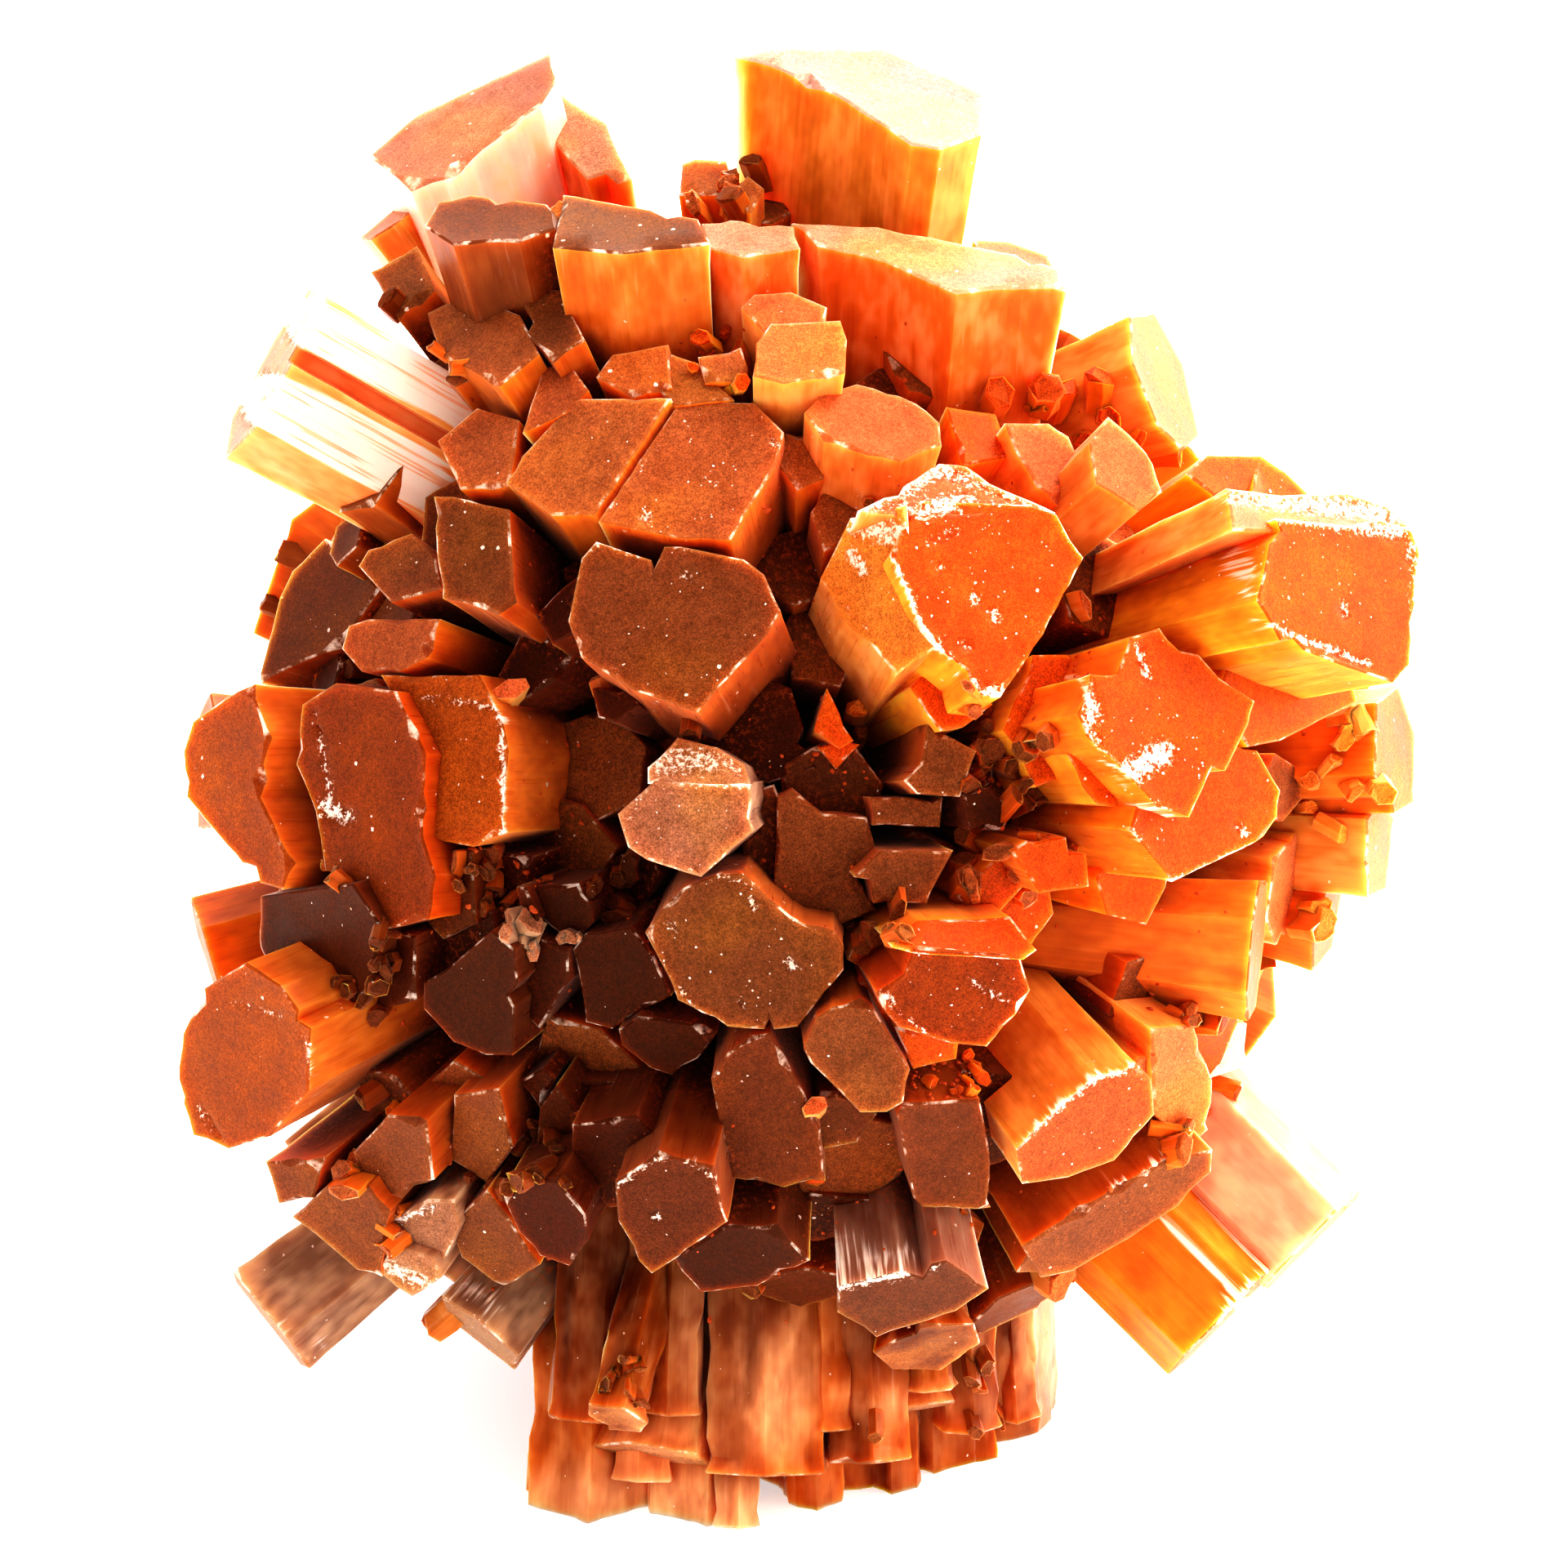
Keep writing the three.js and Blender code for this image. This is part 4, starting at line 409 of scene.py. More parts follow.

# Crush marks (whitish places) and painted highlights (glints, glossy bands and sheen), by crystal number:
# strokes (from across, up, to across, up), width, strength
CRUSHES_AND_GLINTS = {
    0: (
        (-6.2, 6.9, -5.6, 7.3, 0.12, 0.8), (-5.6, 7.3, -4.2, 6.8, 0.1, 0.7),
        (-3, 6.3, -2.8, 6.2, 0.16, 0.7), (-5, 3.4, -4.9, 3.3, 0.1, 0.8),
        (-3.1, 7.1, -1.4, 6.8, 0.07, 0.5),
    ),
    2: (
        (-4.2, 8, -4.1, 8.1, 0.2, 0.95), (-0.4, 10.4, -0.1, 10, 0.12, 0.8),
        (-0.6, 8.7, -0.3, 8.4, 0.13, 0.8), (-2.5, 9.2, -2, 9, 0.09, 0.6),
        (-5.4, 8.1, -3.4, 10.6, 0.07, 0.5),
    ),
    21: (
        (3.2, 6.8, 4.2, 4.5, 0.17, 1), (4.2, 4.5, 4.9, 3.75, 0.2, 1), (4.9, 3.75, 5.9, 2.8, 0.16, 1),
        (5.9, 2.8, 6.6, 2.7, 0.22, 1), (3.4, 8.1, 5, 8.3, 0.3, 0.9), (5.7, 5.6, 5.8, 5.5, 0.22, 0.8),
        (6.3, 5.1, 6.4, 4.9, 0.2, 0.8), (5.4, 4.2, 5.5, 4.1, 0.16, 0.8),
        # The thin stroke along the right edge, from (8.3, 8), is a painted highlight
        (4.6, 6.6, 4.7, 6.5, 0.13, 0.8), (8.3, 8, 8.95, 6.8, 0.09, 0.8), (4.4, 7.3, 5.2, 7.6, 0.2, 0.5),
    ),
    22: ((2.2, 8.3, 4.6, 9.5, 0.5, 0.9), (4.6, 9.5, 8, 8.3, 0.32, 0.75), (3.6, 8.2, 5.6, 8.6, 0.3, 0.8),),
    23: (
        (2.1, 7.9, 3.6, 7.4, 0.55, 0.9), (2, 6.9, 2.4, 6.4, 0.26, 0.9), (3.5, 7.2, 3.2, 6.4, 0.2, 0.8),
        (1.6, 5.6, 2.6, 4.6, 0.06, 0.6),
    ),
    25: (
        (14, 8.2, 18.6, 7.6, 0.3, 0.9), (13.2, 7.9, 13.8, 6.2, 0.6, 0.95),
        (13.6, 6.2, 14.2, 4.9, 0.3, 0.8), (14.2, 4.9, 17.6, 3.6, 0.14, 0.9),
        (16.8, 5.4, 16.9, 5, 0.12, 1), (19, 7.4, 19.2, 5, 0.3, 0.6),
    ),
    26: ((9, 8.6, 14.4, 8.6, 0.3, 0.8), (14.4, 8.6, 18.8, 8.1, 0.4, 0.9),),
    27: ((14.2, 4.7, 17.4, 3.4, 0.16, 0.8),),
    29: (
        (10.2, 0.2, 11.3, 0.9, 0.5, 1), (8.9, 3.4, 9.3, 2, 0.28, 0.9), (9, 2, 9.6, 0.6, 0.2, 0.8),
        (10.4, -0.6, 11.8, -1, 0.25, 0.8), (10.6, 4.2, 10.9, 3.2, 0.18, 0.8),
        (8.6, 3.2, 8.8, 2.9, 0.22, 0.9),
    ),
    30: ((8.8, 3.6, 9.4, 1.4, 0.25, 0.7), (9.4, 1.2, 10.6, -0.8, 0.25, 0.7),),
    32: (
        (10.4, -1.5, 10.6, -1.7, 0.2, 0.9), (13.7, -1.3, 13.9, -1.5, 0.16, 0.9),
        (11.7, -2.95, 14, -1.9, 0.1, 0.9),
    ),
    33: (
        (-3.2, 0.1, -1.1, 0, 0.16, 0.9), (-4.6, -2.1, -1.6, -2.8, 0.07, 0.6),
        (-4.1, 0, -4.8, -1.2, 0.1, 0.7),
    ),
    34: ((-3.9, 0.7, -2.2, 0.7, 0.5, 0.8), (-2, 0.9, -1.2, 0.3, 0.2, 0.7),),
    46: (
        (-1, -3.5, -0.9, -3.7, 0.14, 0.9), (0.1, -5.3, 0.3, -5.5, 0.17, 0.9),
        (-1.3, -6.6, -1.2, -6.8, 0.1, 0.9), (-3.5, -4.1, -3.2, -4.4, 0.12, 0.8),
        (-2.2, -2.7, 0.2, -3.2, 0.1, 0.6), (-3.8, -5.2, -2.4, -7.1, 0.08, 0.6),
    ),
    47: (
        (3, -6.2, 3.2, -6.5, 0.2, 0.9), (4, -4.8, 5.1, -4.9, 0.12, 0.9),
        (5.6, -5.9, 6.6, -6.5, 0.12, 0.8), (3.1, -6.6, 4.6, -7.7, 0.08, 0.7),
    ),
    53: (
        (6.9, -10.9, 8.3, -9.7, 0.16, 1), (8.3, -9.7, 9.4, -8.8, 0.14, 0.9),
        (9.4, -8.8, 10.6, -8.5, 0.2, 0.9), (6.9, -10.9, 7.2, -12.1, 0.08, 0.7),
    ),
    54: ((9.8, -12.2, 11.7, -11.3, 0.1, 0.9),),
    # Painted sheen on the top face and painted highlights along its edges
    57: (
        (1.5, -14.2, 1.7, -15.2, 0.16, 1), (1.7, -15.2, 4.8, -14.5, 0.1, 1),
        (1.5, -14, 3.4, -14.3, 0.8, 0.8),
    ),
    58: ((-8.5, 2.2, -8.4, -2, 0.12, 1), (-10.9, 2.6, -8.5, 2.3, 0.1, 0.8),),
    59: (
        (-14.2, 2.2, -13.6, -0.8, 0.1, 0.8), (-13.9, -0.7, -13.2, -1, 0.3, 0.9),
        (-13, -3, -12.2, -4.3, 0.08, 0.9),
    ),
    62: ((-16.2, 2.9, -14, -0.6, 0.09, 0.7), (-13.9, -0.6, -13.3, -0.9, 0.3, 0.9),),
    74: (
        (-5.2, -12.2, -3.4, -11, 0.1, 0.8), (-3.4, -11, -1.8, -12, 0.1, 0.8),
        (-3.9, -13, -3.8, -13.1, 0.15, 0.9),
    ),
    79: (
        (-17.8, -9.8, -16.8, -11.4, 0.12, 0.7), (-16.8, -11.4, -15.2, -10.6, 0.12, 0.8),
        (-14.4, -7.6, -14.2, -9.8, 0.14, 0.7), (-16.6, -6.6, -15.2, -7, 0.1, 0.6),
    ),
    # Painted highlights: the two glossy white bands along the lying crystal
    99: ((-14.3, 14, -9, 11.2, 0.8, 3), (-15.6, 11.6, -10.3, 8.9, 0.84, 3),),
    105: ((14.2, -10.2, 17.8, -13.4, 0.2, 0.8),),
    106: (
        (11.4, -13, 14.2, -16.2, 0.32, 1), (12.7, -12.5, 15.2, -15.2, 0.3, 1),
        (13.2, -16.4, 15.2, -14, 0.1, 1),
    ),
    # Painted glints on the grey blocks low on the left
    84: ((-11.9, -13.3, -10.6, -12.8, 0.15, 0.9),),
    85: ((-12.2, -14.6, -10.8, -15.2, 0.28, 0.9),),
    # Painted highlights on the lying blocks low on the left
    107: ((-15.2, -16.4, -14.2, -17.2, 0.4, 0.8),),
    108: ((-11.4, -14.6, -10.2, -15.3, 0.6, 0.9), (-10.4, -14.6, -8.8, -16.2, 0.5, 0.9),),
}

# Where small crystals crowd in the gaps: middle [across, up], half width and height, how many, size, tone
SMALL_ZONES = (
    ((1.7, 1.6), (0.9, 1.2), 9, (0.7, 1.2), AMBER),
    ((6.6, 0.6), (1.8, 1.8), 22, (0.5, 1.2), BROWN),
    ((6.4, 2.9), (1.3, 0.9), 10, (0.5, 1), RUSSET),
    ((7, -2.4), (2, 1.1), 16, (0.6, 1.3), RUSSET),
    ((5, -8.6), (1.2, 0.9), 12, (0.4, 0.9), ORANGE),
    ((12, -9), (1.4, 2.4), 26, (0.5, 1.3), RUSSET),
    ((-8.4, -2.9), (1.6, 1.1), 18, (0.4, 1), BROWN),
    ((-7.4, -4.2), (1.4, 0.9), 10, (0.5, 1.1), SMOKY),
    ((-12.2, -5.6), (1.2, 1.4), 18, (0.5, 1.1), UMBER),
    ((-2, 18.2), (1.4, 0.9), 14, (0.7, 1.4), RUSSET),
    ((-1.8, 12.7), (1, 0.9), 9, (0.5, 1.1), ORANGE),
    ((17.4, 0.4), (1.8, 2.6), 14, (0.6, 1.3), AMBER),
    ((17, -4), (1.6, 1.6), 8, (0.6, 1.2), AMBER),
    ((9, 10.8), (1.6, 1.3), 12, (0.6, 1.3), ORANGE),
    ((-12.4, 15), (1, 0.8), 8, (0.5, 1), UMBER),
    ((-9.4, 13.4), (1.4, 0.9), 9, (0.5, 1.2), RUSSET),
    ((-5, -18.4), (1, 1), 14, (0.4, 0.9), BROWN),
    ((-8, -11.6), (1.6, 1.4), 14, (0.5, 1.1), UMBER),
    ((3, -4.4), (1, 1.2), 9, (0.5, 1), BROWN),
    ((-12.6, -12.8), (2, 1.4), 14, (0.6, 1.3), RUSSET),
    ((-5, -2.6), (1, 1.6), 9, (0.5, 1), UMBER),
    ((4.4, -18.6), (4, 1.8), 7, (0.5, 1), HONEY),
    ((-15, 6), (1.6, 1.4), 10, (0.6, 1.2), UMBER),
)

# Grit that lies on the front: middle, half width and height, how many, size of a grain
WHITE_GRIT = (
    ((6, 6.6), (3.4, 3), 60, (0.05, 0.13)),
    ((4.2, 8.6), (2.2, 0.8), 46, (0.06, 0.16)),
    ((-2.8, 9), (2.6, 2.2), 26, (0.05, 0.12)),
    ((-3, -1.4), (1.8, 1.8), 22, (0.05, 0.1)),
    ((11, 0.6), (1.8, 2.4), 46, (0.05, 0.14)),
    ((-1.2, -5), (2.8, 2.4), 26, (0.05, 0.12)),
    ((15.6, 6.6), (3.4, 2.4), 40, (0.05, 0.12)),
    ((-3.4, 5), (3, 2.2), 14, (0.05, 0.09)),
    ((9, -10), (2.4, 1.8), 18, (0.05, 0.12)),
    ((5, -5.6), (2.2, 1.6), 14, (0.05, 0.1)),
)
CLAY_CRUMBS = (
    ((-8.6, -3), (1.6, 1.3), 60, (0.12, 0.34)),
    ((-12, -5.8), (1.1, 1.6), 40, (0.12, 0.32)),
    ((4.6, -8.9), (1.1, 0.7), 36, (0.12, 0.32)),
    ((6.8, 0.6), (1.8, 2.2), 60, (0.1, 0.3)),
    ((12.2, -9.2), (1.3, 2.4), 70, (0.12, 0.36)),
    ((6.4, 3.2), (1.6, 0.9), 36, (0.1, 0.28)),
    ((1.8, 1.2), (1.2, 1.6), 30, (0.1, 0.26)),
    ((9.6, 4), (1.4, 1.4), 24, (0.1, 0.26)),
    ((-4.8, -18.3), (0.9, 0.7), 30, (0.12, 0.34)),
    ((0, -15), (9, 2), 70, (0.1, 0.3)),
    ((-2, 12.6), (2.4, 1.2), 30, (0.1, 0.26)),
    ((0, 0), (15, 15), 420, (0.07, 0.22)),
)


# ---- Settings --------------------------------------------------------------------------------


class CrystalSettings(bpy.types.PropertyGroup):
    """Sizes of the fine relief on the crystals"""

    ridge_pitch: FloatProperty(
        name="Ridge pitch", description="Usual width of a ridge along a crystal's side",
        default=0.00045, min=0.0001, subtype="DISTANCE", unit="LENGTH")
    back_ridge_pitch: FloatProperty(
        name="Ridge pitch behind", description="The same on the crystals of the hidden side",
        default=0.0006, min=0.0001, subtype="DISTANCE", unit="LENGTH")
    groove_depth: FloatProperty(
        name="Groove depth", description="Deepest groove between two ridges",
        default=0.00006, min=0.0, subtype="DISTANCE", unit="LENGTH")
    edge_wear: FloatProperty(
        name="Edge wear", description="Width of the worn edge round an end face",
        default=0.00006, min=0.0, subtype="DISTANCE", unit="LENGTH")
    end_relief: FloatProperty(
        name="End relief", description="Height of the steps and waves on an end face",
        default=0.00006, min=0.0, subtype="DISTANCE", unit="LENGTH")
    end_grain: FloatProperty(
        name="End mesh size", description="Spacing of the points that carry the relief of an end face",
        default=0.00034, min=0.0001, subtype="DISTANCE", unit="LENGTH")


class SmallSettings(bpy.types.PropertyGroup):
    """Small crystals and loose grains in the gaps"""

    scale: FloatProperty(
        name="Small crystal scale", description="Makes all the small crystals larger or smaller",
        default=1.0, min=0.2, max=2.0, subtype="FACTOR")
    scattered: IntProperty(
        name="Scattered",
        description="How many places all round are tried for a small crystal or a crumb",
        default=1500, min=0, subtype="UNSIGNED")


class FinishSettings(bpy.types.PropertyGroup):
    """Colours of the stone and of the clay in its gaps"""

    glow_depth: FloatProperty(
        name="Glow depth", description="How far red light travels inside the stone",
        default=0.0016, min=0.0, subtype="DISTANCE", unit="LENGTH")
    # Whitish colour of crush marks, worn edges, specks and grit, and of painted highlights, glints and
    # glossy bands
    white_tint: FloatVectorProperty(
        name="Bruise colour", description="Crushed, whitish places on edges and corners",
        default=(0.93, 0.78, 0.68), size=3, min=0.0, max=1.0, subtype="COLOR")
    veil: FloatVectorProperty(
        name="Veil colour", description="Milky veils inside the paler crystals",
        default=(0.92, 0.56, 0.34), size=3, min=0.0, max=1.0, subtype="COLOR")
    # Painted shade: the dark red laid down between the crystals, where shade falls
    gap_shade: FloatVectorProperty(
        name="Gap stain", description="Iron-red stain down between the crystals",
        default=(0.12, 0.028, 0.012), size=3, min=0.0, max=1.0, subtype="COLOR")
    clay: FloatVectorProperty(
        name="Clay colour", description="Dry clay and grit caught in the gaps",
        default=(0.62, 0.135, 0.036), size=3, min=0.0, max=1.0, subtype="COLOR")


class StageSettings(bpy.types.PropertyGroup):
    """Floor, lights and camera"""

    floor: FloatVectorProperty(
        name="Floor colour", description="Plain pale floor",
        default=(0.95, 0.95, 0.95), size=3, min=0.0, max=1.0, subtype="COLOR")
    floor_light: FloatProperty(
        name="Floor light", description="How much the floor shines by itself, as a light table does",
        default=0.35, min=0.0, max=2.0, subtype="FACTOR")
    floor_radius: FloatProperty(
        name="Floor radius", description="Half the width of the round floor",
        default=4.0, min=0.5, subtype="DISTANCE", unit="LENGTH")
    view_width: FloatProperty(
        name="View width", description="Width of the camera's field at the middle of the cluster",
        default=0.048, min=0.01, subtype="DISTANCE", unit="LENGTH")
    view_distance: FloatProperty(
        name="View distance", description="Distance of the camera from the middle of the cluster",
        default=0.9, min=0.1, subtype="DISTANCE", unit="LENGTH")


# ---- Crystals as plain shapes ----------------------------------------------------------------


def to_world(points):
    """Front frame in millimetres to the row frame in metres"""
    across, up, toward = np.asarray(points, float).T
    level = up * math.sin(LEAN) - toward * math.cos(LEAN)
    height = up * math.cos(LEAN) + toward * math.sin(LEAN) + CORE_HEIGHT
    return np.stack((across, level, height), axis=1) * MM


def to_front(points):
    """Row frame in metres to the front frame in millimetres"""
    across, level, height = np.asarray(points, float).T / MM
    height = height - CORE_HEIGHT
    up = level * math.sin(LEAN) + height * math.cos(LEAN)
    toward = height * math.sin(LEAN) - level * math.cos(LEAN)
    return np.stack((across, up, toward), axis=1)


class Crystal:
    """A section that is pulled from root to tip: its outline lies on two spread directions"""

    def __init__(self, outline, spread, start, end, tone, taper=TAPER, front=True):
        outline = np.array(outline, float).reshape(-1, 2)
        x, y = outline.T
        if np.sum(x * np.roll(y, -1) - y * np.roll(x, -1)) < 0:
            outline = outline[::-1]
        self.outline = outline
        self.spread = np.array(spread, float)
        self.start = np.array(start, float)
        self.end = np.array(end, float)
        self.tone = tone
        self.taper = taper
        self.front = front
        along = self.end - self.start
        self.length = float(np.linalg.norm(along))
        self.along = along / self.length

    def place(self, flat, part):
        """Front-frame points of section points at a part of the way from root (0) to tip (1)"""
        reach = flat @ self.spread
        part = np.asarray(part, float).reshape(-1, 1)
        root = self.start + reach * self.taper
        tip = self.end + reach
        return root + (tip - root) * part


def facing_crystal(tone, tip, face, root=CORE, slope=SQUARE):
    """A crystal given by its end face as seen from the front; a square end unless a fall is given"""
    corners = np.array(face, float).reshape(-1, 2)
    middle = corners.mean(0)
    end = np.array((middle[0], middle[1], tip))
    along = end - np.array(root, float)
    if slope is SQUARE:
        slope = -along[:2] / along[2]
        steep = np.linalg.norm(slope)
        if steep > STEEPEST_END:
            slope = slope * STEEPEST_END / steep
    spread = ((1, 0, slope[0]), (0, 1, slope[1]))
    return Crystal(corners - middle, spread, root, end, tone)


def lying_crystal(tone, tip, root, section, taper=TAPER, front=True):
    """A crystal given by its tip, its root and the section across it"""
    along = np.array(tip, float) - np.array(root, float)
    along /= np.linalg.norm(along)
    side = np.cross((0, 0, 1), along)
    side /= np.linalg.norm(side)
    return Crystal(section, (side, np.cross(along, side)), root, tip, tone, taper, front)


def scatter(i, channel):
    """A repeatable spread of values from 0 to 1 for crystal number i"""
    value = math.sin(i * 12.9898 + channel * 78.233) * 43758.5453
    return value - math.floor(value)


def hexagon_section(width, depth, turn, uneven):
    """A six-sided section; its corners reach a little past half its width and depth"""
    angle = math.radians(turn)
    outline = []
    for k in range(6):
        spoke = (k + 0.5) * math.pi / 3
        reach = 1 + uneven * math.sin(k * 2.4 + turn)
        x = math.cos(spoke) * reach * width * 0.55
        y = math.sin(spoke) * reach * depth * 0.52
        outline.append((
            x * math.cos(angle) - y * math.sin(angle), x * math.sin(angle) + y * math.cos(angle)))
    return outline


def twin_section(width, depth, turn, notch):
    """The section of two crystals grown together: a hexagon with a notch in two sides"""
    hexagon = hexagon_section(width, depth, turn, 0.08)
    outline = []
    for k, (x, y) in enumerate(hexagon):
        outline.append((x, y))
        if k % 3 == 1:
            nx, ny = hexagon[(k + 1) % 6]
            mid = ((x + nx) / 2, (y + ny) / 2)
            outline.append((mid[0] * 0.9 + x * 0.1, mid[1] * 0.9 + y * 0.1))
            outline.append((mid[0] * (1 - notch), mid[1] * (1 - notch)))
            outline.append((mid[0] * 0.9 + nx * 0.1, mid[1] * 0.9 + ny * 0.1))
    return outline


def foot_column(across, width, depth, low, forward_low, forward_top, turn):
    section = hexagon_section(width, depth, turn, 0.06)
    tip = (across, low, forward_low)
    return lying_crystal(FOOT_TONE, tip, (across * 0.9, FOOT_TOP, forward_top), section, 1.0)


def back_crystals():
    """Crystals of the hidden side, spread evenly round the core and kept inside the front outline"""
    found = []
    floor_up = np.array((0, math.cos(LEAN), math.sin(LEAN)))
    for i in range(BACK_COUNT):
        toward = 1 - 2 * (i + 0.5) / BACK_COUNT
        if toward >= BACK_STARTS:
            continue
        spread = math.sqrt(1 - toward * toward)
        around = i * GOLDEN_TURN + 0.35 * (scatter(i, 1) - 0.5)
        way = np.array((math.cos(around) * spread, math.sin(around) * spread, toward))
        outward = math.hypot(way[0], way[1])
        side_limit = (BACK_SIDE_REACH + BACK_UP_REACH * abs(way[1]) / outward) / outward
        long_reach = BACK_REACH * (0.84 + 0.22 * scatter(i, 2))
        floor_limit = math.inf
        downward = -way @ floor_up
        if downward > 0.1:
            floor_limit = (CORE_HEIGHT - FLOOR_CLEARANCE) / downward - TIP_HALF_WIDTH
        width = BACK_WIDTH + BACK_WIDTH_SPREAD * (scatter(i, 3) - 0.5)
        depth = width * (0.72 + 0.34 * scatter(i, 4))
        turn = 180 * scatter(i, 5)
        if scatter(i, 6) > TWIN_ABOVE:
            section = twin_section(width, depth, turn, 0.3)
        else:
            section = hexagon_section(width, depth, turn, 0.09)
        root = tuple(scatter(i, channel) * 3 - 1.5 for channel in (7, 8, 9))
        tip = way * min(long_reach, side_limit, floor_limit)
        tone = BACK_TONES[i % len(BACK_TONES)]
        found.append(lying_crystal(tone, tip, root, section, front=False))
    return found


def directions(count):
    """Ways out from the middle, spread evenly"""
    step = np.arange(count) + 0.5
    height = 1 - 2 * step / count
    level = np.sqrt(1 - height * height)
    around = step * GOLDEN_TURN
    return np.stack((np.cos(around) * level, np.sin(around) * level, height), axis=1)


def seen_at(tree, across, up):
    """What a look from the front meets at a place: spot, normal and face"""
    above = Vector(to_world(((across, up, LOOK_FROM),))[0])
    return tree.ray_cast(above, -TOWARD_EYE, LOOK_LENGTH)[:3]


def solid_reach(tree, ways):
    """How far the solid reaches along each way (mm), and how squarely its face looks that way"""
    reach = np.zeros(len(ways))
    square_on = np.zeros(len(ways))
    for k, way in enumerate(ways):
        outward = Vector(way)
        spot, normal, _, _ = tree.ray_cast(MIDDLE + outward * LOOK_AROUND, -outward, LOOK_AROUND)
        if spot is not None:
            reach[k] = (spot - MIDDLE).length / MM
            square_on[k] = normal @ outward
    return reach, square_on


def hides_an_end(tree, tip):
    """Whether a small crystal with this tip would cover an end face that looks to the front"""
    for across, up in END_PROBES:
        spot, normal, _ = seen_at(tree, tip[0] + across, tip[1] + up)
        if spot is not None and normal @ TOWARD_EYE > END_TOWARD_EYE:
            if 0.5 * tip[2] + 4 < to_front((spot,))[0][2] < tip[2] + 0.3:
                return True
    return False


def filling_crystals(crystals, draw):
    """Smaller crystals that stand in the gaps between the large ones, lower than their neighbours"""
    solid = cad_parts[NODE].data
    tree = BVHTree.FromPolygons(
        [v.co for v in solid.vertices], [tuple(p.vertices) for p in solid.polygons])
    ways = directions(FILL_TRIES)
    reach, square_on = solid_reach(tree, ways)
    near = ways @ ways.T > FILL_NEIGHBOUR
    hollow = np.where(near, reach[None, :], 0).max(1) - reach
    tips = np.array([crystal.end / np.linalg.norm(crystal.end) for crystal in crystals])
    taken = []
    found = []
    for k in np.argsort(-hollow):
        on_end = square_on[k] > END_SQUARE_ON and reach[k] > CORE_RADIUS + 0.4
        if hollow[k] < FILL_HOLLOW or on_end or any(ways[k] @ ways[j] > FILL_CLOSEST for j in taken):
            continue
        length = reach[k] + hollow[k] * (0.30 + 0.38 * draw.random())
        spot = ways[k] * length + (0, 0, CORE_HEIGHT)
        if spot[2] < FILL_LOWEST:
            continue
        tip = to_front((spot * MM,))[0]
        if hides_an_end(tree, tip):
            continue
        taken.append(k)
        lean = 1.2 * (draw.random(3) - 0.5)
        width = 1.7 + 2.0 * draw.random()
        section = hexagon_section(width, width * (0.7 + 0.5 * draw.random()), 180 * draw.random(), 0.14)
        owner = crystals[int(np.argmax(tips @ (tip / np.linalg.norm(tip))))]
        tone = DEEPER.get(owner.tone, owner.tone)
        # A tip that stands out past the solid's outline is left out
        if seen_at(tree, tip[0], tip[1])[0] is not None:
            front = bool(tip[2] > -2)
            found.append(lying_crystal(tone, tip, tip * 0.45 + lean, section, 0.8, front))
    return found


def all_crystals(draw):
    """Every crystal of the cluster, in the order of its number"""
    crystals = [facing_crystal(*row) for row in FACING]
    crystals += [lying_crystal(*row) for row in LYING]
    crystals += [foot_column(*row) for row in FOOT_COLUMNS]
    crystals += back_crystals()
    for tip, width, depth, turn in FEET:
        section = hexagon_section(width, depth, turn, 0.07)
        crystals.append(lying_crystal(RUSSET, tip, CORE, section, front=False))
    for i, (across, up, toward, width) in enumerate(GAP_CRYSTALS):
        tip = np.array((across, up, toward), float)
        section = hexagon_section(width, width * (0.75 + 0.3 * scatter(i, 11)), 180 * scatter(i, 12), 0.1)
        crystals.append(lying_crystal(BROWN, tip, tip * 0.2, section))
    crystals += filling_crystals(crystals, draw)
    return crystals + [foot_column(*row) for row in FOOT_SLIVERS]


# ---- Fine shaping of one crystal -------------------------------------------------------------

SIDE, EDGE, END = range(3)
CRUSH_DEPTH = 0.14
DEEP_NOTCH = 0.35
NOTCH_CHANCE = 0.025
CHIP_ABOVE = 0.93
FOOT_LUMPS = 0.22
SIDE_LUMPS = 0.05
# Mesh size of an end with crush marks and painted highlights, and of one of the hidden side, beside that
# of other ends
CRUSH_GLINT_GRAIN = 0.5
BACK_GRAIN = 1.9
# Rings along a crystal, by their distance below the end
FOOT_RINGS = (0.5, 1.1, 1.8, 2.5, 3.2, 3.9, 4.6, 5.4, 6.2, 7.0)
SIDE_RINGS = (0.75, 1.7, 3.0, 4.8, 7.2)
BACK_RINGS = (1.2, 3.2, 6.4)

# The foot is darker toward the top, under the cluster, as painted shade; cloudy; and pale in places with
# painted glow
FOOT_SHADE_UP = -14.5
FOOT_SHADE_OVER = 5.0
FOOT_SHADE_DEEP = 0.42
FOOT_PALE = (0.92, 0.46, 0.24)
FOOT_CLOUDS = 0.9
# Painted shade: the sides darken below the end, down between the crystals: where this starts and over
# what length
SIDE_SHADE_FROM = 0.8
SIDE_SHADE_OVER = 5.0
# Painted shade: the stone is darkened toward its back, and on faces turned away from the front, which
# face the lamp behind: where this starts, over what depth, what it leaves
BACK_SHADE_FROM = 1.0
BACK_SHADE_OVER = 7.0
BACK_SHADE = (0.6, 0.42, 0.42)

# How shut in a place is: rays sent out, how far they look and how far off the skin they start (m)
GAP_RAYS = 14
GAP_REACH = 0.0065
GAP_OFF_SKIN = 0.00006

# What the four channels of the corner value "finish" hold
KIND, WEAR, CRUSH_GLINT, GAP = range(4)

# The slab below the floor that trims the cluster: width, depth and height
SLAB = (0.12, 0.12, 0.04)


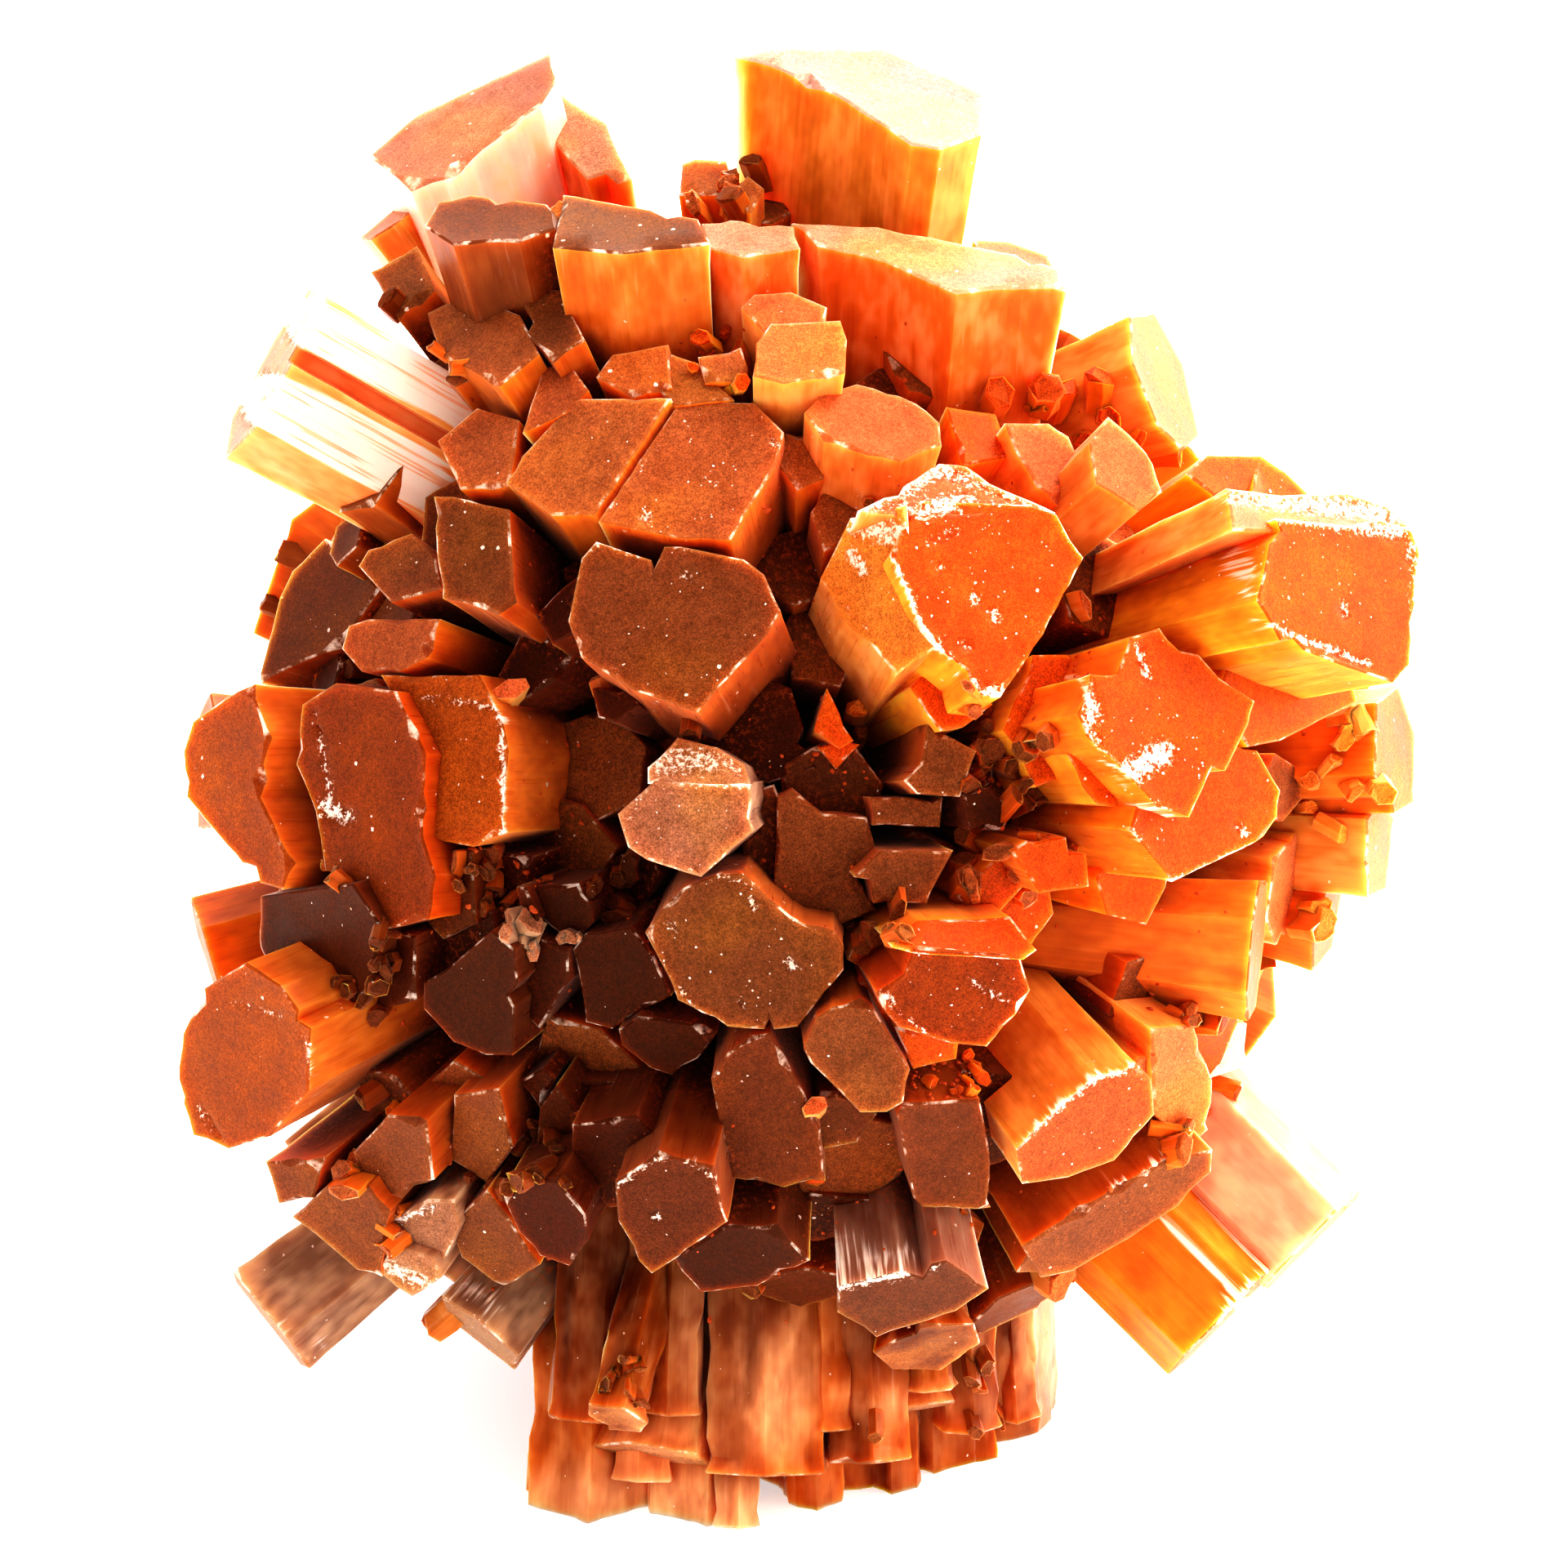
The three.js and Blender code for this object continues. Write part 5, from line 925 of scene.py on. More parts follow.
def read_values(items, field, kind=np.float32, width=1):
    """One field of a mesh's items as a row of numbers"""
    values = np.zeros(len(items) * width, kind)
    items.foreach_get(field, values)
    return values


def write_values(mesh, name, kind, domain, values):
    """Adds a named value to the corners or faces of a mesh"""
    field = {"FLOAT_VECTOR": "vector", "FLOAT_COLOR": "color"}.get(kind, "value")
    mesh.attributes.new(name, kind, domain).data.foreach_set(field, values.ravel())


def ridged_outline(crystal, pitch, groove, draw):
    """Section points with ridges and grooves: place, inward direction and groove depth of each"""
    corners = crystal.outline
    step = np.roll(corners, -1, axis=0) - corners
    length = np.linalg.norm(step, axis=1)
    inward = np.stack((-step[:, 1], step[:, 0]), axis=1) / length[:, None]
    points, ways, depths = [], [], []
    for k in range(len(corners)):
        corner_way = inward[k - 1] + inward[k]
        corner_way /= max(np.linalg.norm(corner_way), 1e-6)
        miter = 1 / max(0.6, float(corner_way @ inward[k]))
        points.append(corners[k])
        ways.append(corner_way * miter)
        depths.append(0.01 * draw.random())
        ragged = 0.2 + 1.3 * draw.random() ** 2
        count = max(1, round(length[k] / pitch))
        for j in range(1, count):
            part = (j + 0.6 * (draw.random() - 0.5)) / count
            points.append(corners[k] + step[k] * part)
            ways.append(inward[k])
            notch = DEEP_NOTCH if draw.random() < NOTCH_CHANCE else 0
            depths.append(groove * ragged * draw.random() ** 1.7 + notch * draw.random())
    return np.array(points), np.array(ways), np.array(depths)


def fill_points(ring, spacing, draw):
    """Points inside a ring on an uneven three-way grid"""
    low, high = ring.min(0), ring.max(0)
    rows = int((high[1] - low[1]) / (spacing * 0.87)) + 1
    columns = int((high[0] - low[0]) / spacing) + 2
    row, column = np.divmod(np.arange(rows * columns), columns)
    shift = 0.4 * (draw.random((rows * columns, 2)) - 0.5)
    across = column + 0.5 * (row % 2) + shift[:, 0]
    spots = low + np.stack((across, (row + shift[:, 1]) * 0.87), axis=1) * spacing
    following = np.roll(ring, -1, axis=0)
    step = following - ring
    square = np.maximum((step * step).sum(1), 1e-12)
    x, y = spots[:, :1], spots[:, 1:]
    crosses = (ring[:, 1] > y) != (following[:, 1] > y)
    slanted = ring[:, 0] + (y - ring[:, 1]) * step[:, 0] / np.where(step[:, 1] == 0, 1, step[:, 1])
    inside = np.count_nonzero(crosses & (slanted > x), axis=1) % 2 == 1
    away = spots[:, None, :] - ring[None, :, :]
    nearest = np.clip((away * step).sum(2) / square, 0, 1)
    gap = away - step * nearest[:, :, None]
    clear = (gap * gap).sum(2).min(1) > (0.5 * spacing) ** 2
    return [tuple(spot) for spot in spots[inside & clear]]


def crush_and_glint_at(number, across, up):
    """How strongly a crystal's crush marks and painted highlights cover points seen from the front, from
    0 to 1
    """
    worst = np.zeros(len(across))
    spots = np.stack((across, up), axis=1)
    for x, y, to_x, to_y, width, strength in CRUSHES_AND_GLINTS.get(number, ()):
        start = np.array((x, y), float)
        step = np.array((to_x, to_y), float) - start
        part = np.clip((spots - start) @ step / max(step @ step, 1e-9), 0, 1)
        gap = np.linalg.norm(spots - start - part[:, None] * step, axis=1)
        worst = np.maximum(worst, strength * np.clip(1.5 - gap / width * 1.2, 0, 1))
    return worst


def end_relief(x, y, number):
    """Steps and waves of an end face, from 0 down to -1"""
    seed = number * 3.7
    wave = noise.noise(Vector((x * 0.32, y * 0.32, seed)))
    stair = noise.noise(Vector((x * 0.5, y * 0.5, seed + 40))) * 3.2
    level = math.floor(stair)
    rise = min(1.0, (stair - level) * 5)
    fine = noise.noise(Vector((x * 2.6, y * 2.6, seed + 80)))
    return -0.35 - 0.2 * wave + 0.22 * (level + rise) / 3 + 0.12 * fine


def crystal_rings(crystal, number, flat, inward, depth):
    """Rings of points from a crystal's root up to near its end; the grooves fade and swell on the way"""
    foot = crystal.tone == FOOT_TONE
    lumps = FOOT_LUMPS if foot else SIDE_LUMPS
    rings = [crystal.place(flat + inward * depth[:, None], 0)]
    for below in reversed(FOOT_RINGS if foot else SIDE_RINGS if crystal.front else BACK_RINGS):
        if below < crystal.length * 0.9:
            spots = [Vector((*(place * 0.9), below * 0.7 + number * 2.3)) for place in flat]
            fade = np.array([0.75 + 0.8 * noise.noise(spot * 1.8) for spot in spots])
            swell = np.array([
                lumps * (noise.noise(spot) + 0.4 * noise.noise(spot * 2.7) + 0.35) for spot in spots])
            moved = depth * np.clip(fade, 0, 1.4) + np.clip(swell, 0, 1)
            rings.append(crystal.place(flat + inward * moved[:, None], 1 - below / crystal.length))
    return rings


def end_net(flat, inward, depth, lip, spacing, draw):
    """Rim of an end face, points inside it and triangles between them, or none where they would cross"""
    count = len(flat)
    for narrower in (1, 0.5, 0.2, 0.02):
        rim = flat + inward * (depth + lip * narrower)[:, None]
        inside = fill_points(rim, spacing, draw)
        points = [Vector(p) for p in rim] + [Vector(p) for p in inside]
        net = delaunay_2d_cdt(points, [], [list(range(count))], 1, 1e-7)
        if len(net[0]) == len(points) and len(net[2]) >= count - 2:
            return rim, inside, net
    return rim, inside, None


def pull_to(mesh, places, worn_edge=0.0):
    """Extrudes the selected face to new places of its corners"""
    bpy.ops.mesh.extrude_region_move()
    sheet = bmesh.from_edit_mesh(mesh)
    column = sheet.verts.layers.int["column"]
    worn = sheet.verts.layers.float["worn"]
    for vert in sheet.verts:
        if vert.select:
            vert.co = places[vert[column]]
            vert[worn] = worn_edge
    bmesh.update_edit_mesh(mesh)


def dress_end(mesh, crystal, number, inside, net, height, draw):
    """Marks the worn edge and lays the net that carries the steps and waves over the end face"""
    sheet = bmesh.from_edit_mesh(mesh)
    column = sheet.verts.layers.int["column"]
    part = sheet.faces.layers.int["part"]
    cap = next(face for face in sheet.faces if face.select)
    slots = sorted(cap.verts, key=lambda vert: vert[column])
    for edge in cap.edges:
        for face in edge.link_faces:
            face[part] = EDGE
    cap[part] = END
    if net is not None:
        bmesh.ops.delete(sheet, geom=[cap], context="FACES_ONLY")
        placed = crystal.place(np.array(inside).reshape(-1, 2), 1)
        crush_glint = crush_and_glint_at(number, placed[:, 0], placed[:, 1])
        for k, (x, y) in enumerate(inside):
            sink = height * end_relief(x, y, number) - CRUSH_DEPTH * crush_glint[k] * draw.random()
            placed[k] += crystal.along * sink
        slots += [sheet.verts.new(p) for p in to_world(placed)] if inside else []
        order = [group[0] for group in net[3]]
        for triangle in net[2]:
            face = sheet.faces.new([slots[order[k]] for k in triangle])
            face[part] = END
    bmesh.update_edit_mesh(mesh)


def raise_crystal(crystal, number, settings, draw):
    """Draws a crystal's section at its root, pulls it out to its end and dresses the end face"""
    pitch = (settings.ridge_pitch if crystal.front else settings.back_ridge_pitch) / MM
    flat, inward, depth = ridged_outline(crystal, pitch, settings.groove_depth / MM, draw)
    count = len(flat)
    uneven = 0.75 + 0.5 * draw.random(count)
    chip = np.where(draw.random(count) > CHIP_ABOVE, 1 + 2.5 * draw.random(count), 0.0)
    lip = settings.edge_wear / MM * (uneven + chip)
    rings = crystal_rings(crystal, number, flat, inward, depth)
    rings.append(crystal.place(flat + inward * depth[:, None], 1 - lip * 0.9 / crystal.length))
    grain = CRUSH_GLINT_GRAIN if number in CRUSHES_AND_GLINTS else 1 if crystal.front else BACK_GRAIN
    rim, inside, net = end_net(flat, inward, depth, lip, settings.end_grain / MM * grain, draw)

    bpy.ops.mesh.primitive_circle_add(vertices=count, radius=MM, fill_type="NGON", enter_editmode=True)
    body = bpy.context.object
    body.name = f"crystal_{number:03d}"
    mesh = body.data
    sheet = bmesh.from_edit_mesh(mesh)
    column = sheet.verts.layers.int.new("column")
    sheet.verts.layers.float.new("worn")
    sheet.faces.layers.int.new("part")
    root = to_world(rings[0])
    for vert in sheet.verts:
        vert[column] = vert.index
        vert.co = root[vert.index]
    bmesh.update_edit_mesh(mesh)

    for places in rings[1:-1]:
        pull_to(mesh, to_world(places))
    for places in (rings[-1], crystal.place(rim, 1)):
        pull_to(mesh, to_world(places), 1.0)
    dress_end(mesh, crystal, number, inside, net, settings.end_relief / MM, draw)
    bpy.ops.mesh.select_all(action="SELECT")
    bpy.ops.mesh.normals_make_consistent(inside=False)
    bpy.ops.object.mode_set(mode="OBJECT")
    mark_corners(mesh, number)
    return body


def mark_corners(mesh, number):
    """Carries the crystal's number and its worn edge to the faces, where joining keeps them"""
    corner = read_values(mesh.loops, "vertex_index", np.int32)
    worn = read_values(mesh.attributes["worn"].data, "value")
    write_values(mesh, "edge", "FLOAT", "CORNER", worn[corner])
    mesh.attributes.remove(mesh.attributes["worn"])
    mesh.attributes.remove(mesh.attributes["column"])
    write_values(mesh, "crystal", "INT", "FACE", np.full(len(mesh.polygons), number, np.int32))


def only(*objects):
    """Selects these objects alone; the first is the active one"""
    bpy.ops.object.select_all(action="DESELECT")
    for item in objects:
        item.select_set(True)
    bpy.context.view_layer.objects.active = objects[0]


def make_core(number):
    """The lumpy middle that all crystals stand on"""
    bpy.ops.mesh.primitive_ico_sphere_add(subdivisions=4, radius=CORE_RADIUS * MM, location=MIDDLE)
    core = bpy.context.object
    core.name = "core"
    bpy.ops.object.transform_apply(location=True, rotation=True, scale=True)
    for vert in core.data.vertices:
        away = vert.co - MIDDLE
        lump = noise.noise(away / MM * 0.5) * 0.5 + noise.noise(away / MM * 1.6) * 0.3
        vert.co = MIDDLE + away * (0.93 + 0.05 * lump)
    core.data.attributes.new("edge", "FLOAT", "CORNER")
    core.data.attributes.new("part", "INT", "FACE")
    faces = len(core.data.polygons)
    write_values(core.data, "crystal", "INT", "FACE", np.full(faces, number, np.int32))
    return core


def grow_together(pieces, name):
    """Joins overlapping closed shapes into one closed skin"""
    body = pieces[0]
    group = bpy.data.collections.new("growing")
    bpy.context.scene.collection.children.link(group)
    for piece in pieces[1:]:
        group.objects.link(piece)
        for other in list(piece.users_collection):
            if other != group:
                other.objects.unlink(piece)
    only(body)
    join = body.modifiers.new("join", "BOOLEAN")
    join.operation = "UNION"
    join.operand_type = "COLLECTION"
    join.collection = group
    join.solver = "MANIFOLD"
    bpy.ops.object.modifier_apply(modifier=join.name)
    for piece in pieces[1:]:
        bpy.data.meshes.remove(piece.data)
    bpy.data.collections.remove(group)
    body.name = body.data.name = name
    return body


def trim_at_floor(body):
    """Cuts away what would stand below the floor"""
    bpy.ops.mesh.primitive_cube_add(size=1, location=(0, 0, -SLAB[2] / 2))
    slab = bpy.context.object
    slab.scale = SLAB
    bpy.ops.object.transform_apply(location=True, rotation=True, scale=True)
    only(body)
    cut = body.modifiers.new("trim", "BOOLEAN")
    cut.operation = "DIFFERENCE"
    cut.object = slab
    cut.solver = "MANIFOLD"
    bpy.ops.object.modifier_apply(modifier=cut.name)
    bpy.data.meshes.remove(slab.data)


def keep_outer_skin(body):
    """Pockets shut in between crystals are dropped: only the largest connected skin stays"""
    only(body)
    bpy.ops.object.mode_set(mode="EDIT")
    sheet = bmesh.from_edit_mesh(body.data)
    left = set(sheet.verts)
    largest = []
    while left:
        stack = [left.pop()]
        skin = list(stack)
        while stack:
            for edge in stack.pop().link_edges:
                for vert in edge.verts:
                    if vert in left:
                        left.discard(vert)
                        stack.append(vert)
                        skin.append(vert)
        if len(skin) > len(largest):
            largest = skin
    bpy.ops.mesh.select_all(action="SELECT")
    for vert in largest:
        vert.select = False
    sheet.select_flush(False)
    bmesh.update_edit_mesh(body.data)
    bpy.ops.mesh.delete(type="VERT")
    bpy.ops.object.mode_set(mode="OBJECT")


def corner_arrays(mesh):
    """Places of the vertices, and the vertex and the face of each face corner"""
    sizes = read_values(mesh.polygons, "loop_total", np.int32)
    return (read_values(mesh.vertices, "co", width=3).reshape(-1, 3),
            read_values(mesh.loops, "vertex_index", np.int32), np.repeat(np.arange(len(sizes)), sizes))


def skin_tree(mesh):
    """A ray tree of a mesh's triangles"""
    mesh.calc_loop_triangles()
    return BVHTree.FromPolygons(
        [v.co for v in mesh.vertices], [tuple(t.vertices) for t in mesh.loop_triangles])


def gap_depth(mesh):
    """How shut in each point of a skin is, from 0 in the open to 1 deep in a gap"""
    tree = skin_tree(mesh)
    ways = []
    for k in range(GAP_RAYS):
        height = 1 - (k + 0.5) / GAP_RAYS
        around = k * GOLDEN_TURN
        level = math.sqrt(1 - height * height)
        ways.append(Vector((math.cos(around) * level, math.sin(around) * level, height)))
    total = sum(way.z for way in ways)
    found = np.zeros(len(mesh.vertices), np.float32)
    for k, vert in enumerate(mesh.vertices):
        turn = vert.normal.to_track_quat("Z", "Y")
        start = vert.co + vert.normal * GAP_OFF_SKIN
        shut = 0.0
        for way in ways:
            distance = tree.ray_cast(start, turn @ way, GAP_REACH)[3]
            if distance is not None:
                shut += way.z * (1 - distance / GAP_REACH) ** 0.5
        found[k] = shut / total
    return found


def tone_table(crystals):
    """Side and end colours with milk by crystal, each a little lighter or darker; the core comes last"""
    colours = np.zeros((2, len(crystals) + 1, 4))
    for k, crystal in enumerate(crystals):
        end_colour, side_colour, milk, _ = TONES[crystal.tone]
        shade = 0.88 + 0.24 * scatter(k, 21)
        warmth = 0.92 + 0.16 * scatter(k, 22)
        for row, (red, green, blue) in enumerate((side_colour, end_colour)):
            colours[row, k] = (red * shade, green * shade * warmth, blue * shade * warmth, milk)
    colours[:, -1] = (*TONES[DARK][0], 0.0)
    return colours


def grain_places(seen, number, crystals):
    """Places measured along and across each corner's own crystal, shifted from crystal to crystal"""
    tips, sides, faces, alongs = np.zeros((4, len(crystals) + 1, 3))
    for k, crystal in enumerate(crystals):
        tips[k] = crystal.end
        alongs[k] = crystal.along
        side = np.cross((0.1, 1, 0.2), crystal.along)
        sides[k] = side / np.linalg.norm(side)
        faces[k] = np.cross(crystal.along, sides[k])
    alongs[-1], sides[-1], faces[-1] = (0, 0, 1), (1, 0, 0), (0, 1, 0)
    away = seen - tips[number]
    return np.stack([
        (away * sides[number]).sum(1) + number * 3.1,
        (away * faces[number]).sum(1) + number * 1.7,
        (away * alongs[number]).sum(1)], axis=1)


def foot_colours(colours, seen):
    """The foot's colours: darker toward the top as painted shade, cloudy and streaked, with painted glow
    in pale places
    """
    low = (FOOT_SHADE_UP - seen[:, 1]) / FOOT_SHADE_OVER + (seen[:, 0] + 2) * 0.01
    lit = colours * (FOOT_SHADE_DEEP + (1 - FOOT_SHADE_DEEP) * np.clip(low, 0, 1)[:, None])
    pale = np.zeros(len(seen))
    for middle, half, strength in FOOT_GLOWS:
        away = np.hypot((seen[:, 0] - middle[0]) / half[0], (seen[:, 1] - middle[1]) / half[1])
        pale = np.maximum(pale, strength * np.clip(1.5 - away, 0, 1))
    lit += (np.array(FOOT_PALE) - lit) * pale[:, None]
    for k, (across, up, toward) in enumerate(seen.tolist()):
        cloud = noise.noise(Vector((across * 0.9, up * 0.4, toward * 0.9)))
        streak = noise.noise(Vector((across * 3.4, up * 0.5, toward * 3.4)))
        lit[k] *= np.clip(1 + FOOT_CLOUDS * (cloud + 0.6 * streak), 0.3, 1.5) ** (0.7, 1.0, 1.2)
    return lit


def dress_corners(body, crystals):
    """Writes what the stone's finish reads: grain direction, tone with painted shade, kind of face, wear,
    crush and glint marks, and gap depth
    """
    mesh = body.data
    places, corner_vert, corner_face = corner_arrays(mesh)
    seen = to_front(places)[corner_vert]
    number = read_values(mesh.attributes["crystal"].data, "value", np.int32)
    number = np.clip(number, 0, len(crystals))[corner_face]
    part = read_values(mesh.attributes["part"].data, "value", np.int32)[corner_face]
    edge = read_values(mesh.attributes["edge"].data, "value")
    grain = grain_places(seen, number, crystals)
    write_values(mesh, "grain", "FLOAT_VECTOR", "CORNER", grain)

    tone = tone_table(crystals)[(part > SIDE).astype(int), number]
    shut = gap_depth(mesh)
    # Painted shade down the sides, below each end
    fade = np.array([TONES[crystal.tone][3] for crystal in crystals] + [0])[number]
    tone[:, :3] *= (1 - fade * np.clip((-grain[:, 2] - SIDE_SHADE_FROM) / SIDE_SHADE_OVER, 0, 1))[:, None]
    normals = read_values(mesh.polygons, "normal", width=3).reshape(-1, 3)
    # Painted shade toward the back and on faces turned away from the front
    turned_away = (normals @ (0, math.cos(LEAN), -math.sin(LEAN)))[corner_face]
    behind = np.maximum((BACK_SHADE_FROM - seen[:, 2]) / BACK_SHADE_OVER, turned_away * 1.4)
    tone[:, :3] *= 1 - np.clip(behind, 0, 1)[:, None] * (1 - np.array(BACK_SHADE))
    # Painted shade toward the foot's top and painted glow in pale places
    footed = np.array([crystal.tone == FOOT_TONE for crystal in crystals] + [False])[number]
    tone[footed, :3] = foot_colours(tone[footed, :3], seen[footed])
    write_values(mesh, "tone", "FLOAT_COLOR", "CORNER", tone)

    marks = np.zeros((len(mesh.loops), 4))
    marks[:, KIND] = part / END
    marks[:, WEAR] = edge
    for k in CRUSHES_AND_GLINTS:
        mine = number == k
        marks[mine, CRUSH_GLINT] = crush_and_glint_at(k, seen[mine, 0], seen[mine, 1])
    # Gap depth, held back on the paler tones, carries the painted gap shade and the clay
    hold = np.array([SHADE_HOLD.get(crystal.tone, 1) for crystal in crystals] + [1])
    marks[:, GAP] = shut[corner_vert] * hold[number]
    write_values(mesh, "finish", "FLOAT_COLOR", "CORNER", marks)
    for name in ("edge", "part"):
        mesh.attributes.remove(mesh.attributes[name])
    drop_maps(mesh)


def drop_maps(mesh):
    """Removes texture coordinates that nothing reads"""
    for layer in list(mesh.uv_layers):
        mesh.uv_layers.remove(layer)


# ---- Small crystals and grit -----------------------------------------------------------------

# No small thing lies lower than this over the floor (m)
CLEAR_OF_FLOOR = 1.5 * MM
# Forms of the small crystals, 1 long and 1 wide: sides, width, depth, narrower end; the last is a twin
SMALL_FORMS = ((6, 0.42, 0.38, 0.80), (6, 0.52, 0.24, 0.86), (8, 0.44, 0.36, 0.90))
TWIN_SIDES = 8
GRAIN_FORM_SEEDS = (3, 17, 29)
# How far a thing is sunk into the skin, as part of its length or width
CRYSTAL_SUNK = 0.45
WHITE_SUNK = 0.15
CLAY_SUNK = 0.12
# Gap depth from which a place counts as in a gap: for crystals, white grains and clay
OPEN_END = 0.25
CRYSTAL_GAP = 0.42
NO_WHITE_GAP = 0.4
CLAY_GAP = 0.3
BACK_CLAY_GAP = 0.4
# Sizes all round: small crystals from and spread, white grains, clay crumbs
BACK_SIZE, BACK_SIZE_SPREAD = 0.5, 0.9
BACK_WHITE_SIZE = (0.04, 0.11)
BACK_CLAY_SIZE = (0.1, 0.32)
BACK_WHITE_COUNT = 400


def skin_of(body):
    """A ray tree of the cluster's skin, with the finish values of each triangle"""
    mesh = body.data
    tree = skin_tree(mesh)
    marks = read_values(mesh.attributes["finish"].data, "color", width=4).reshape(-1, 4)
    return tree, marks[np.array([t.loops[0] for t in mesh.loop_triangles])]


def seen_spots(tree, middle, half, count, draw):
    """Where the skin is met by looking from the front at scattered places round a middle"""
    for _ in range(count):
        angle = draw.random() * 2 * math.pi
        reach = math.sqrt(draw.random())
        across = middle[0] + half[0] * reach * math.cos(angle)
        up = middle[1] + half[1] * reach * math.sin(angle)
        spot, normal, index = seen_at(tree, across, up)
        if spot is not None:
            yield spot, normal, index


def scattered_spots(tree, count, draw):
    """Where the skin is met by looking inward from all round, away from the floor"""
    for _ in range(count):
        way = Vector(draw.normal(size=3)).normalized()
        lean = Vector(draw.normal(size=3)) * 0.25
        inward = (lean - way).normalized()
        spot, normal, index, _ = tree.ray_cast(MIDDLE + way * LOOK_AROUND, inward, LOOK_LENGTH)
        if spot is not None and spot.z > CLEAR_OF_FLOOR:
            yield spot, normal, index


def small_crystal_forms():
    """Three small crystals, 1 long and 1 wide: a hexagon, a flat one and a twin with a notch"""
    forms = []
    for sides, width, depth, narrower in SMALL_FORMS:
        bpy.ops.object.select_all(action="DESELECT")
        bpy.ops.mesh.primitive_circle_add(vertices=sides, radius=1, fill_type="NGON", enter_editmode=True)
        bpy.ops.transform.resize(value=(width, depth, 1))
        bpy.ops.mesh.extrude_region_move(TRANSFORM_OT_translate={"value": (0, 0, 0.55)})
        bpy.ops.transform.resize(value=(0.96, 0.97, 1))
        bpy.ops.mesh.extrude_region_move(TRANSFORM_OT_translate={"value": (0, 0, 0.40)})
        bpy.ops.mesh.extrude_region_move(TRANSFORM_OT_translate={"value": (0, 0, 0.05)})
        bpy.ops.transform.resize(value=(narrower, narrower, 1))
        bpy.ops.mesh.select_all(action="SELECT")
        bpy.ops.mesh.normals_make_consistent(inside=False)
        bpy.ops.object.mode_set(mode="OBJECT")
        form = bpy.context.object
        if sides == TWIN_SIDES:
            for vert in form.data.vertices:
                if vert.co.y > 0.1 and abs(vert.co.x) < 0.1 * width:
                    vert.co.y *= 0.5
        forms.append(form)
    return forms


def turned(way, roll):
    """A turn that takes the z direction to a way, after a roll about it"""
    return way.to_track_quat("Z", "Y").to_matrix() @ Matrix.Rotation(roll, 3, "Z")


def plant(form, spot, turn, size, draw):
    """A copy of a form with its own mesh, set on a spot and made a little uneven"""
    copy = bpy.data.objects.new(form.name, form.data.copy())
    bpy.context.scene.collection.objects.link(copy)
    for vert in copy.data.vertices:
        uneven = 1 + 0.22 * (draw.random(3) - 0.5)
        place = Vector(vert.co[k] * size[k] * uneven[k] for k in range(3))
        vert.co = spot + turn @ place
    return copy


def dress_small(copy, form, tone, size, number, draw):
    """Gives a small crystal what the stone's finish reads"""
    end_colour, side_colour, milk, _ = TONES[tone]
    shade = 0.75 + 0.45 * draw.random()
    places, corner_vert, corner_face = corner_arrays(form.data)
    on_end = np.array([face.normal.z > 0.5 for face in form.data.polygons])[corner_face]
    colours = np.where(on_end[:, None], (*end_colour, milk / shade), (*side_colour, milk / shade)) * shade
    marks = np.zeros((len(on_end), 4))
    marks[:, KIND] = on_end
    # Painted gap shade and clay at the base of each small crystal
    marks[:, GAP] = (places[corner_vert][:, 2] < 0.3) * 0.55
    grain = places[corner_vert] * np.array(size) / MM + number * 2.7
    write_values(copy.data, "grain", "FLOAT_VECTOR", "CORNER", grain)
    write_values(copy.data, "tone", "FLOAT_COLOR", "CORNER", colours)
    write_values(copy.data, "finish", "FLOAT_COLOR", "CORNER", marks)


def join_as(copies, name):
    """Joins copies into one piece at the origin"""
    only(*copies)
    bpy.ops.object.join()
    piece = bpy.context.object
    piece.name = piece.data.name = name
    drop_maps(piece.data)
    return piece


def drop(*objects):
    """Removes shapes that were only copied from"""
    for item in objects:
        bpy.data.meshes.remove(item.data)


def fits(spot, room):
    """Whether a small thing at a spot stays inside the solid's box"""
    low, high = CAD_BOX
    return all(low[k] + room < spot[k] < high[k] - room for k in range(3))


def grain_forms():
    """Three lumpy grains, about 1 across"""
    forms = []
    for seed in GRAIN_FORM_SEEDS:
        bpy.ops.object.select_all(action="DESELECT")
        bpy.ops.mesh.primitive_uv_sphere_add(segments=7, ring_count=5, radius=0.5, enter_editmode=True)
        bpy.ops.transform.resize(value=(1.0, 0.8, 0.62))
        bpy.ops.object.mode_set(mode="OBJECT")
        form = bpy.context.object
        for vert in form.data.vertices:
            vert.co *= 1 + 0.45 * noise.noise(vert.co * 2.2 + Vector((seed, 0, 0)))
        forms.append(form)
    return forms


def sprinkle(forms, spots, size, sunk, draw):
    """Grains of mixed size lying on spots"""
    copies = []
    low, high = size
    for spot, normal, _ in spots:
        wide = (low + (high - low) * draw.random() ** 2) * MM
        if fits(spot, wide):
            way = (normal + Vector(draw.normal(size=3)) * 0.3).normalized()
            turn = turned(way, draw.random() * 6.28)
            form = forms[int(draw.integers(len(forms)))]
            copies.append(plant(form, spot - normal * wide * sunk, turn, (wide, wide, wide), draw))
    return copies


# ---- Finishes --------------------------------------------------------------------------------


